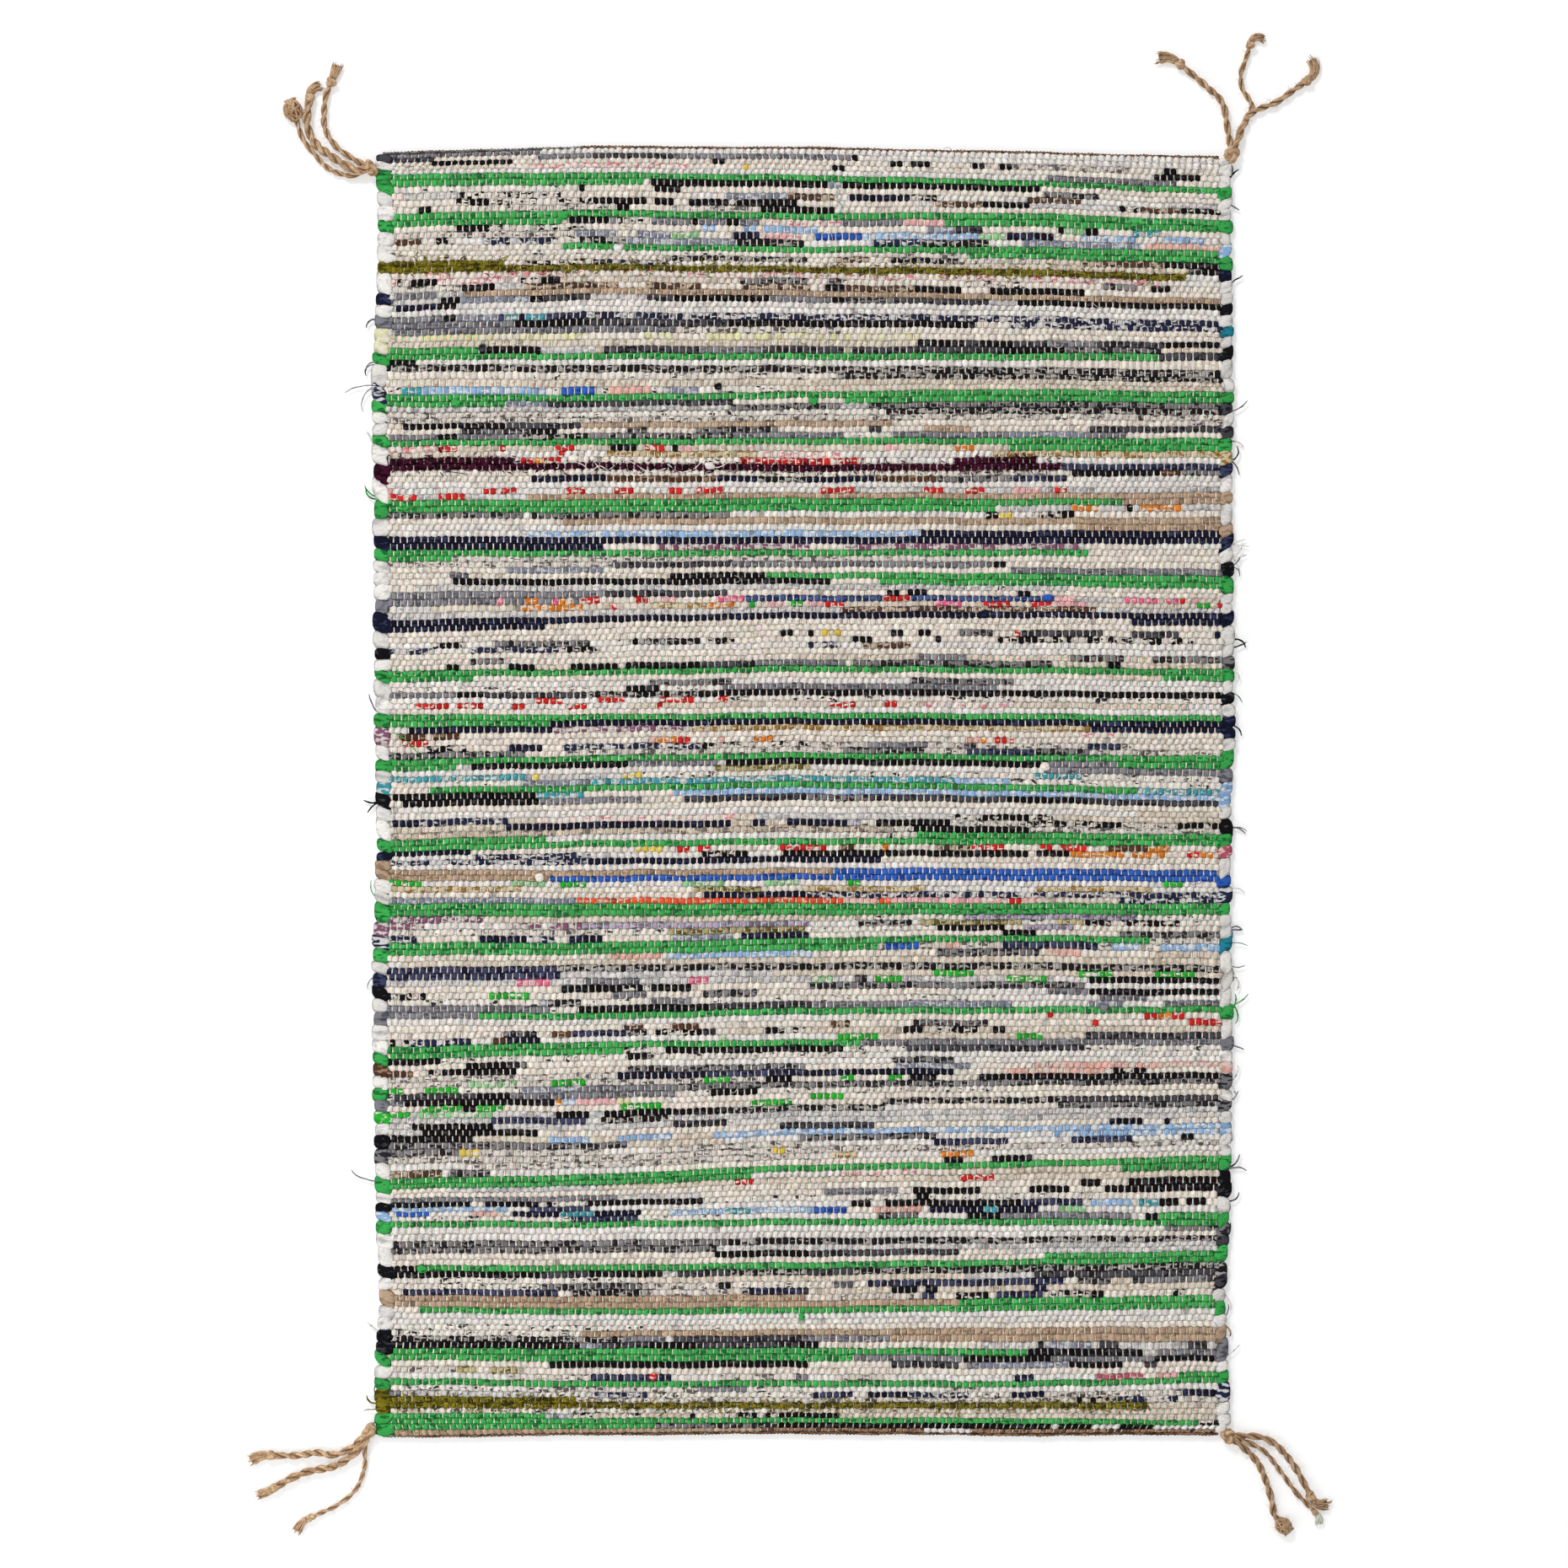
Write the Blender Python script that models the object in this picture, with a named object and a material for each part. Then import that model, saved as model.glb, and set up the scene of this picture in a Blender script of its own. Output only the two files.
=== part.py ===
# A hand-woven rag rug, 60 x 90 cm, with a knotted jute tassel at each of its corners.
# Metres, +Z up. X runs across the rug, along its picks, and Y runs along its length.
# The origin is in the middle of the flat underside, which lies on z = 0.

import bpy
import bmesh
from collections import namedtuple
from math import atan2, copysign, cos, pi, radians, sin
from mathutils import Matrix, Vector

mm = 0.001

# The cloth.
rugWidth = 600 * mm
rugLength = 900 * mm
pickCount = 214            # rows of rag from end to end, one raised rib each
crestHeight = 5.0 * mm     # top of a rib
grooveHeight = 3.7 * mm    # bottom of the groove between two ribs
edgeHeight = 2.4 * mm      # widest level of the rounded rim
rimTuck = 1.3 * mm         # how far the rim curls in below that level
turnBulge = 1.9 * mm       # how far a rag turn stands out of the side edge
turnWidth = 4.0 * mm       # from a turn's tip to its crest
picksPerTurn = 2           # a strip comes out and goes back in

# The jute.
headHeight = 9.4 * mm
twistRun = 13.0 * mm       # length of one full turn of a two-ply cord
twistSteps = 6             # sections in that length
plyFlatness = 0.66         # a two-ply cord is this much thinner across its plies
rootLift = 1.1 * mm        # the first cord leaves its head knot this far above the floor
rootStep = 1.3 * mm        # and each of the others a little higher
rootRun = 20.0 * mm        # they have come down to the floor this far out
rootTurn = 1.0             # radians between the twists of neighbouring cords
knotHeight = 6.4 * mm
tailHeight = 2.6 * mm
tailLift = 0.3 * mm        # the end knot holds the tail just off the floor
tailSteps = 6              # sections from the end knot's start to the frayed tip

# How far each side edge stands from the middle line, by the height on the rug, in mm.
SideRow = namedtuple("SideRow", "y left right")
sideRows = [
    SideRow(-450, 297.0, 294.5),
    SideRow(-443, 300.0, 299.5),
    SideRow(-399, 299.5, 298.5),
    SideRow(-355, 296.5, 296.5),
    SideRow(-310, 299.0, 299.0),
    SideRow(-222, 300.5, 301.0),
    SideRow(-133, 302.0, 301.5),
    SideRow(-45, 299.0, 299.5),
    SideRow(44, 300.0, 303.0),
    SideRow(133, 300.5, 302.0),
    SideRow(221, 301.0, 301.0),
    SideRow(287, 302.5, 302.5),
    SideRow(376, 297.5, 300.5),
    SideRow(441, 298.5, 300.5),
    SideRow(450, 296.5, 294.0),
]

# How far each end edge stands from the middle line, by the place across the rug, in mm.
EndRow = namedtuple("EndRow", "x top bottom")
endRows = [
    EndRow(-300, 446.5, 452.0),
    EndRow(-220, 450.0, 450.0),
    EndRow(-78, 453.0, 448.5),
    EndRow(64, 450.5, 448.0),
    EndRow(205, 448.0, 450.5),
    EndRow(300, 446.0, 448.5),
]

# One cord: its thickness, its end knot and the frayed tail after the knot in mm, how far the
# tail turns to the left in degrees, and its way over the floor from the head knot to the end
# knot, as mm across and mm up from the head.
Cord = namedtuple("Cord", "thick knotLong knotWide tailLong tailWide tailTurn way")
Tassel = namedtuple("Tassel", "name x y wide long cords")
tassels = [
    Tassel("tassel_top_left", -302.0, 436.5, 9.0, 13.5, [
        Cord(4.0, 7.0, 7.5, 9.0, 6.5, 0,
             [(-11, 6), (-24, 15), (-32, 27), (-33, 38), (-32, 50), (-29.5, 57)]),
        Cord(5.2, 7.0, 6.8, 8.5, 6.0, -45,
             [(-11, -1), (-27, 8), (-39.5, 18), (-45, 32), (-43.5, 46)]),
        Cord(3.8, 16.0, 12.0, 2.5, 8.0, 0,
             [(-14, -5), (-29.5, 0), (-39.5, 10), (-48, 21), (-52, 32.5)]),
    ]),
    Tassel("tassel_top_right", 300.5, 446.0, 11.5, 12.5, [
        Cord(4.5, 7.5, 7.5, 14.0, 8.5, 30,
             [(-3, 19), (-6.5, 36.5), (-17, 47.5), (-33, 61)]),
        Cord(3.9, 6.4, 7.0, 10.0, 6.0, -62,
             [(6.5, 19), (13.5, 32), (13.5, 37), (7.5, 46.5), (6.5, 57), (10, 67), (12, 74)]),
        Cord(4.2, 7.4, 6.8, 10.5, 6.2, 48,
             [(5.5, 13), (10.5, 25), (16.5, 31), (30.5, 36.5), (38.5, 42), (49, 49.5)]),
    ]),
    Tassel("tassel_bottom_left", -303.5, -447.5, 9.6, 13.5, [
        Cord(4.6, 7.0, 6.8, 11.5, 6.5, 18,
             [(-13, -12), (-25, -16.5), (-37, -15), (-51, -17), (-65, -17)]),
        Cord(5.0, 6.0, 5.6, 10.0, 5.0, -10,
             [(-8, -13), (-23, -24), (-42, -28), (-55, -33), (-63.5, -38)]),
        Cord(3.6, 7.5, 5.6, 12.0, 6.2, 25,
             [(-3, -13), (-3.5, -26), (-9.5, -41), (-22.5, -52), (-37.5, -59)]),
    ]),
    Tassel("tassel_bottom_right", 297.8, -450.8, 11.0, 11.5, [
        Cord(4.9, 8.0, 7.2, 11.0, 6.5, 45,
             [(10, 0), (23, -1), (34.5, -7), (46.5, -21.5), (56, -38.5)]),
        Cord(3.9, 5.2, 4.8, 7.0, 5.0, -35,
             [(11, -3.5), (25.5, -11), (36.5, -24.5), (47.5, -39.5), (59.5, -52)]),
        Cord(4.9, 12.0, 9.5, 2.0, 7.5, 0,
             [(10, -7.5), (20.5, -18.5), (26.5, -31.5), (31, -46.5), (32, -54.5), (34.5, -58)]),
    ]),
]

rugRows = 2 * pickCount    # a groove and a crest for each pick
rugColumns = [0.0, 0.0, 0.25, 0.5, 0.75, 1.0, 1.0]


def readRows(rows, key, column, place):
    # The value of a column at a place along the table, eased from row to row.
    low = rows[0]
    high = rows[-1]
    for first, second in zip(rows, rows[1:]):
        if getattr(first, key) <= place <= getattr(second, key):
            low = first
            high = second
            break
    start = getattr(low, key)
    share = (place - start) / (getattr(high, key) - start)
    share = min(max(share, 0.0), 1.0)
    ease = share * share * (3 - 2 * share)
    return getattr(low, column) + (getattr(high, column) - getattr(low, column)) * ease


def makeMaterial(name, colour, roughness):
    material = bpy.data.materials.new(name)
    material.use_nodes = True
    shader = material.node_tree.nodes["Principled BSDF"]
    shader.inputs["Base Color"].default_value = (*colour, 1)
    shader.inputs["Roughness"].default_value = roughness
    shader.inputs["Metallic"].default_value = 0.0
    return material


def addObject(name, meshData, material=None):
    thing = bpy.data.objects.new(name, meshData)
    bpy.context.collection.objects.link(thing)
    if material:
        meshData.materials.append(material)
    return thing


def rugPoint(row, column):
    # A point of the ribbed top: even rows are grooves and odd rows are crests.
    along = row / rugRows
    across = rugColumns[column]
    nominalY = (along - 0.5) * rugLength / mm
    leftEdge = -readRows(sideRows, "y", "left", nominalY) * mm
    rightEdge = readRows(sideRows, "y", "right", nominalY) * mm
    turnPhase = 2 * pi * row / (2 * picksPerTurn)
    bulge = turnBulge * 0.5 * (1 - cos(turnPhase))
    lastColumn = len(rugColumns) - 1
    x = leftEdge + (rightEdge - leftEdge) * across
    if column == 0:
        x += turnBulge - bulge
    if column == 1:
        x += turnWidth
    if column == lastColumn:
        x -= turnBulge - bulge
    if column == lastColumn - 1:
        x -= turnWidth
    top = readRows(endRows, "x", "top", x / mm) * mm
    bottom = readRows(endRows, "x", "bottom", x / mm) * mm
    y = -bottom + (top + bottom) * along
    atRim = column in (0, lastColumn) or row in (0, rugRows)
    ribHeight = crestHeight if row % 2 else grooveHeight
    return Vector((x, y, edgeHeight if atRim else ribHeight))


def makeRug(material):
    # The ribbed top is one grid. Its rim curls under to the flat underside, which is one face.
    bm = bmesh.new()
    columns = len(rugColumns)
    grid = bmesh.ops.create_grid(bm, x_segments=columns - 1, y_segments=rugRows, size=1.0)
    for index, vertex in enumerate(grid["verts"]):
        vertex.co = rugPoint(index // columns, index % columns)
    rim = [edge for edge in bm.edges if edge.is_boundary]
    wall = bmesh.ops.extrude_edge_only(bm, edges=rim)["geom"]
    for vertex in [item for item in wall if isinstance(item, bmesh.types.BMVert)]:
        x, y = vertex.co.xy
        onSide = abs(x) / rugWidth > abs(y) / rugLength
        if onSide:
            x -= copysign(rimTuck, x)
        else:
            y -= copysign(rimTuck, y)
        vertex.co = (x, y, 0.0)
    hem = [item for item in wall if isinstance(item, bmesh.types.BMEdge)]
    bmesh.ops.contextual_create(bm, geom=hem)
    bmesh.ops.recalc_face_normals(bm, faces=bm.faces)
    rug = bpy.data.meshes.new("rug")
    bm.to_mesh(rug)
    bm.free()
    rug.shade_smooth()
    rug.set_sharp_from_angle(angle=pi / 4)
    return addObject("rug", rug, material)


def smoothWay(points, step):
    # Points at even steps along a smooth curve through the given ones.
    fine = []
    padded = [points[0] * 2 - points[1]] + points + [points[-1] * 2 - points[-2]]
    for before, start, end, after in zip(padded, padded[1:], padded[2:], padded[3:]):
        for part in range(12):
            t = part / 12
            fine.append(0.5 * (2 * start + (end - before) * t
                               + (2 * before - 5 * start + 4 * end - after) * t * t
                               + (3 * start - before - 3 * end + after) * t * t * t))
    fine.append(points[-1])
    reach = [0.0]
    for first, second in zip(fine, fine[1:]):
        reach.append(reach[-1] + (second - first).length)
    count = round(reach[-1] / step)
    spaced = []
    at = 0
    for index in range(count + 1):
        target = reach[-1] * index / count
        while at < len(fine) - 2 and reach[at + 1] < target:
            at += 1
        share = (target - reach[at]) / (reach[at + 1] - reach[at])
        spaced.append(fine[at].lerp(fine[at + 1], share))
    return spaced


def addRing(bm, centre, ahead, halfWide, halfHigh, turn):
    # Four corners around the cord, at the ends of its wide and of its thin way.
    side = Vector((-ahead.y, ahead.x, 0)).normalized()
    up = Vector((0, 0, 1))
    corners = []
    for quarter in range(4):
        angle = quarter * pi / 2
        wide = cos(angle) * halfWide
        high = sin(angle) * halfHigh
        across = wide * cos(turn) - high * sin(turn)
        rise = wide * sin(turn) + high * cos(turn)
        corners.append(bm.verts.new(centre + side * across + up * rise))
    return corners


def makeTail(bm, cord, start, ahead, turn):
    # The sections inside the end knot turn level, and those after it spread into the tail.
    rings = []
    thick = cord.thick * mm
    knotReach = cord.knotLong * mm
    endReach = knotReach + cord.tailLong * mm
    levelTurn = pi * round(turn / pi)
    heading = ahead.copy()
    centre = start.copy()
    tailSections = max(1, round(tailSteps * cord.tailLong * mm / endReach))
    for index in range(1, tailSteps + 1):
        reach = endReach * index / tailSteps
        settled = min(reach / knotReach, 1.0)
        spread = max(reach - knotReach, 0.0) / (endReach - knotReach)
        if spread > 0:
            heading.rotate(Matrix.Rotation(radians(cord.tailTurn) / tailSections, 3, "Z"))
        halfWide = (thick + (cord.tailWide * mm - thick) * spread) / 2
        halfHigh = (thick * plyFlatness + (tailHeight - thick * plyFlatness) * settled) / 2
        roll = turn + (levelTurn - turn) * settled
        centre += heading * endReach / tailSteps
        centre.z = tailLift + max(abs(sin(roll)) * halfWide, abs(cos(roll)) * halfHigh)
        rings.append(addRing(bm, centre, heading, halfWide, halfHigh, roll))
    return rings


def makeCord(head, cord, order):
    # A two-ply cord of four sides, twisted along its way, with its frayed tail.
    bm = bmesh.new()
    points = [head + Vector((x * mm, y * mm, 0)) for x, y in cord.way]
    points.insert(0, head.lerp(points[0], 0.1))
    thick = cord.thick * mm
    way = smoothWay(points, twistRun / twistSteps)
    rings = []
    for index, point in enumerate(way):
        ahead = (way[min(index + 1, len(way) - 1)] - way[max(index - 1, 0)]).normalized()
        turn = 2 * pi * index / twistSteps + rootTurn * order
        near = 1 - min((point - way[0]).length / rootRun, 1.0)
        lift = (rootLift + rootStep * order) * near * near * (3 - 2 * near)
        centre = point + Vector((0, 0, thick / 2 + lift))
        rings.append(addRing(bm, centre, ahead, thick / 2, thick / 2 * plyFlatness, turn))
    rings += makeTail(bm, cord, way[-1], ahead, turn)
    for first, second in zip(rings, rings[1:]):
        for corner in range(4):
            following = (corner + 1) % 4
            bm.faces.new((first[corner], first[following], second[following], second[corner]))
    bm.faces.new(rings[0])
    bm.faces.new(rings[-1])
    bmesh.ops.triangulate(bm, faces=bm.faces)
    bmesh.ops.recalc_face_normals(bm, faces=bm.faces)
    meshData = bpy.data.meshes.new("cord")
    bm.to_mesh(meshData)
    bm.free()
    return addObject("cord", meshData), way[-1], ahead


def makeKnot(place, ahead, long, wide, high, fineness):
    # A tied lump with the wrapped turns of cord raised on it, resting on the floor.
    bm = bmesh.new()
    bmesh.ops.create_icosphere(bm, subdivisions=fineness, radius=1.0)
    for vertex in bm.verts:
        around = atan2(vertex.co.z, vertex.co.y)
        wrap = 1 + 0.07 * cos(3 * around + 4.5 * vertex.co.x)
        vertex.co = Vector((vertex.co.x * long / 2, vertex.co.y * wrap * wide / 2,
                            vertex.co.z * wrap * high / 2))
    lowest = min(vertex.co.z for vertex in bm.verts)
    spin = Matrix.Rotation(atan2(ahead.y, ahead.x), 4, "Z")
    lift = Matrix.Translation((place.x, place.y, -lowest))
    bmesh.ops.transform(bm, matrix=lift @ spin, verts=bm.verts)
    meshData = bpy.data.meshes.new("knot")
    bm.to_mesh(meshData)
    bm.free()
    return addObject("knot", meshData)


def fuse(name, pieces, material):
    # One closed body from pieces that run into each other.
    base = pieces[0]
    for piece in pieces[1:]:
        union = base.modifiers.new("union", "BOOLEAN")
        union.operation = "UNION"
        union.object = piece
    evaluated = base.evaluated_get(bpy.context.evaluated_depsgraph_get())
    meshData = bpy.data.meshes.new_from_object(evaluated)
    meshData.name = name
    for piece in pieces:
        bpy.data.objects.remove(piece)
    meshData.materials.clear()
    meshData.shade_smooth()
    meshData.set_sharp_from_angle(angle=pi / 4)
    return addObject(name, meshData, material)


def makeTassel(tassel, material):
    head = Vector((tassel.x * mm, tassel.y * mm, 0))
    upright = Vector((0, 1, 0))
    pieces = [makeKnot(head, upright, tassel.long * mm, tassel.wide * mm, headHeight, 3)]
    for order, cord in enumerate(tassel.cords):
        strand, end, ahead = makeCord(head, cord, order)
        long = cord.knotLong * mm
        knot = makeKnot(end + ahead * long / 2, ahead, long, cord.knotWide * mm, knotHeight, 2)
        pieces += [strand, knot]
    return fuse(tassel.name, pieces, material)


for thing in list(bpy.data.objects):
    bpy.data.objects.remove(thing)

ragCloth = makeMaterial("rag_weave", (0.42, 0.42, 0.38), 0.9)
jute = makeMaterial("jute", (0.45, 0.28, 0.15), 0.85)
makeRug(ragCloth)
for tassel in tassels:
    makeTassel(tassel, jute)
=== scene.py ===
import math
import bpy
import numpy as np
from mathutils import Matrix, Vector


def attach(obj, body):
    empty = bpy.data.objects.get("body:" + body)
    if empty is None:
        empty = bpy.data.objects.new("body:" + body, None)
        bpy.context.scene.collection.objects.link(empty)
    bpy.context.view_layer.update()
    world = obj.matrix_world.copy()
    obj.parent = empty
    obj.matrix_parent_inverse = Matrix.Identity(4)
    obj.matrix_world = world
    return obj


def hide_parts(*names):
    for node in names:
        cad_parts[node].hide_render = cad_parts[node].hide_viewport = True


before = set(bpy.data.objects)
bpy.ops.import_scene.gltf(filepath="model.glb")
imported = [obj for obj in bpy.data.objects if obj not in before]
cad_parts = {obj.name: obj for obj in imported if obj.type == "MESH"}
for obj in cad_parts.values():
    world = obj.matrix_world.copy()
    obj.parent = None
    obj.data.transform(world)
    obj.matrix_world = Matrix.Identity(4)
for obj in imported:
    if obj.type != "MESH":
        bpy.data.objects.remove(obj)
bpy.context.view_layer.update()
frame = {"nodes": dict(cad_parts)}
mm = 0.001
rng = np.random.default_rng(12)
print("frame loaded:", ", ".join(frame["nodes"]))

# The photograph looks straight down. Its scale and the pixel over the rug's middle.
photo = {
    "pixels": 1860,
    "perMetre": 1694.0,
    "middleX": 952.0,
    "middleY": 939.5,
    "leftSide": 460,         # a run that starts before this pixel starts at the side
    "rightSide": 1440,
}


def fromLeft(pixel):
    return (pixel - photo["middleX"]) / photo["perMetre"]


def fromTop(pixel):
    return (photo["middleY"] - pixel) / photo["perMetre"]


def readChart(text, numbers):
    # The entries of a chart: each is a word and so many numbers.
    words = text.split()
    size = numbers + 1
    return [(words[at], *map(float, words[at + 1:at + size])) for at in range(0, len(words), size)]


def linear(red, green, blue):
    # A colour as the eye names it, 0 to 255, as the light that the shaders use.
    parts = np.array([red, green, blue]) / 255
    return np.where(parts < 0.04045, parts / 12.92, ((parts + 0.055) / 1.055) ** 2.4)


# Shader nodes.
class Wire:
    # One socket, so that shader maths reads as plain sums.
    def __init__(self, tree, socket):
        self.tree = tree
        self.socket = socket

    def sum(self, operation, *others):
        node = self.tree.nodes.new("ShaderNodeMath")
        node.operation = operation
        for slot, value in zip(node.inputs, (self, *others)):
            plug(self.tree, slot, value)
        return Wire(self.tree, node.outputs[0])

    def __add__(self, other):
        return self.sum("ADD", other)

    def __sub__(self, other):
        return self.sum("SUBTRACT", other)

    def __mul__(self, other):
        return self.sum("MULTIPLY", other)

    def __truediv__(self, other):
        return self.sum("DIVIDE", other)

    def held(self):
        # Kept between 0 and 1.
        kept = self.sum("ADD", 0.0)
        kept.socket.node.use_clamp = True
        return kept


def plug(tree, slot, value):
    if isinstance(value, Wire):
        tree.links.new(value.socket, slot)
    else:
        slot.default_value = value


def addNode(tree, kind, settings=None, inputs=None, output=0):
    node = tree.nodes.new(kind)
    for name, value in (settings or {}).items():
        setattr(node, name, value)
    for name, value in (inputs or {}).items():
        plug(tree, node.inputs[name], value)
    return Wire(tree, node.outputs[output])


def blend(tree, share, first, second, way="MIX"):
    # A mix of two colours.
    node = tree.nodes.new("ShaderNodeMix")
    node.data_type = "RGBA"
    node.blend_type = way
    plug(tree, node.inputs["Factor"], share)
    for slot, value in (("A", first), ("B", second)):
        socket = [item for item in node.inputs if item.name == slot and item.type == "RGBA"][0]
        plug(tree, socket, value)
    result = [item for item in node.outputs if item.type == "RGBA"][0]
    return Wire(tree, result)


def grain(tree, place, scale, detail=2.0, rough=0.5):
    return addNode(tree, "ShaderNodeTexNoise", None,
                   {"Vector": place, "Scale": scale, "Detail": detail, "Roughness": rough}, "Fac")


def marked(tree, name, output):
    # A colour attribute of a mesh: its "Color", its "Alpha" or all of it as a "Vector".
    return addNode(tree, "ShaderNodeAttribute", {"attribute_name": name}, None, output)


def stretched(tree, place, scale, rotation=(0, 0, 0)):
    return addNode(tree, "ShaderNodeMapping", None,
                   {"Vector": place, "Scale": scale, "Rotation": rotation})


def dress(tree, shader, colour, rough, strength, distance, height):
    # Colour, roughness and bump, the three things that vary on every cloth here.
    plug(tree, shader.inputs["Base Color"], colour)
    plug(tree, shader.inputs["Roughness"], rough.held())
    plug(tree, shader.inputs["Normal"], addNode(
        tree, "ShaderNodeBump", None, {"Strength": strength, "Distance": distance, "Height": height}))


def newMaterial(name, sheen=0.0, sheenColour=(1, 1, 1)):
    material = bpy.data.materials.new(name)
    material.use_nodes = True
    tree = material.node_tree
    shader = tree.nodes["Principled BSDF"]
    shader.inputs["Specular IOR Level"].default_value = 0.08
    shader.inputs["Sheen Weight"].default_value = sheen
    shader.inputs["Sheen Roughness"].default_value = 0.5
    shader.inputs["Sheen Tint"].default_value = (*sheenColour, 1)
    place = addNode(tree, "ShaderNodeTexCoord", None, None, "Object")
    return material, tree, shader, place


def tinted(tree, colour, value):
    # A colour made lighter or darker by a value.
    node = tree.nodes.new("ShaderNodeVectorMath")
    node.operation = "SCALE"
    plug(tree, node.inputs[0], colour)
    plug(tree, node.inputs["Scale"], value)
    return Wire(tree, node.outputs[0])


def grooveShade(tree, place):
    # Painted shade: 1 at the crests of both faces, and darker down in the grooves between the picks, where
    # shade falls.
    height = addNode(tree, "ShaderNodeSeparateXYZ", None, {"Vector": place}, "Z")
    fromMiddle = (height - rug["crestHeight"] * mm / 2).sum("ABSOLUTE")
    low, high = finishAndShade["grooveReach"]
    share = ((fromMiddle - low * mm) / ((high - low) * mm)).held()
    return share * (1 - finishAndShade["grooveShade"]) + finishAndShade["grooveShade"]


# The weave.
rug = {
    "pickCount": 214,
    "warpPairs": 121,        # rag humps along one pick
    "crestHeight": 5.0,      # mm, all heights from the floor
    "grooveHeight": 3.6,     # the grooves between humps, where the warp shows
    "lowHeight": 0.14,       # the humps underneath
    "tickWidth": 0.82,       # how much of a warp end shows
    "crestWidth": 2.7,
    "crestShare": 0.72,      # how much of a pick its humps' flat tops fill
    "interlock": 0.46,       # how far humps push between those of the next pick
    "leftTurn": 12.0,        # width of the plain turned rag at each side
    "rightTurn": 9.5,
    "unevenHeight": 0.24,
    "unevenFlat": 0.20,
    "unevenPlace": 0.22,
    "unevenWidth": 0.10,
    "unevenTilt": 0.16,
    "unevenSlant": 0.12,
    "unevenSize": 0.10,
    "wander": 0.55,
    "waves": ((61, 1.0), (133, 0.7), (290, 0.4)),   # a pick's sway: waves in a metre, share
    "calmPicks": 4,          # the sway fades out in this many picks at each end
    "oddHumps": 0.035,       # how many humps are knotted up or sunk
    "oddHeights": (-0.9, 0.6, 0.9),
    "oddSize": 0.18,
    "slant": 0.34,           # how far a hump leans, one way in one pick and back in the next
    "tone": 0.15,            # how much lighter or darker a hump is than its rag
    "paleTone": 0.11,        # and how much less of that a pale one shows
    "hue": 0.015,
    "cover": (0.2, 1.7),     # how much more or less of the second colour a hump shows
    "bands": 5,
}

# The rug's uneven sides: how far up, and mm from the middle line to the left and right edges.
sideRows = np.array("""
-450 297 294.5   -443 300 299.5   -399 299.5 298.5   -355 296.5 296.5   -310 299 299
-222 300.5 301   -133 302 301.5   -45 299 299.5   44 300 303   133 300.5 302
221 301 301   287 302.5 302.5   376 297.5 300.5   441 298.5 300.5   450 296.5 294
""".split(), float).reshape(-1, 3)

# Where the picks lie: a pick's number, and its row in the photograph at five places across.
rowPlaces = [470, 700, 950, 1200, 1440]
pickRows = np.array("""
0.5 184 176 177 182 188   6 209 208 211 217 227   12 258 253 257 256 265
17 295 293 297 297 302   21 320 317 320 323 331   25 352 345 348 353 358
29 380 374 376 378 385   35 424 423 423 423 422   37 436 437 438 440 446
41 473 473 469 465 468   49 526 524 523 523 524   53 555 553 556 554 555
59 597 597 594 596 594   65 640 641 641 641 642   67 656 657 656 656 655
72 690 690 689 691 696   78 740 735 730 729 731   87 799 798 793 795 798
95 851 851 849 850 853   102 905 900 896 899 900   107 938 935 930 934 941
116 1008 1001 998 998 1000   121 1034 1036 1033 1034 1036   127 1075 1075 1075 1075 1075
133 1122 1122 1116 1112 1116   137 1152 1148 1146 1146 1150   144 1204 1206 1199 1198 1197
149 1246 1239 1237 1236 1236   164 1350 1352 1342 1339 1335   170 1402 1397 1385 1381 1374
179 1451 1452 1449 1449 1451   182 1476 1475 1472 1471 1468   186 1505 1504 1501 1497 1493
193 1553 1556 1554 1551 1548   197 1580 1582 1580 1578 1577   200 1602 1603 1602 1604 1605
205 1638 1642 1641 1642 1636   209 1667 1667 1667 1667 1667   212 1685 1685 1684 1685 1688
213 1692 1692 1691 1692 1693   214.5 1703 1699 1697 1700 1698
""".split(), float).reshape(-1, 6)

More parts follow.
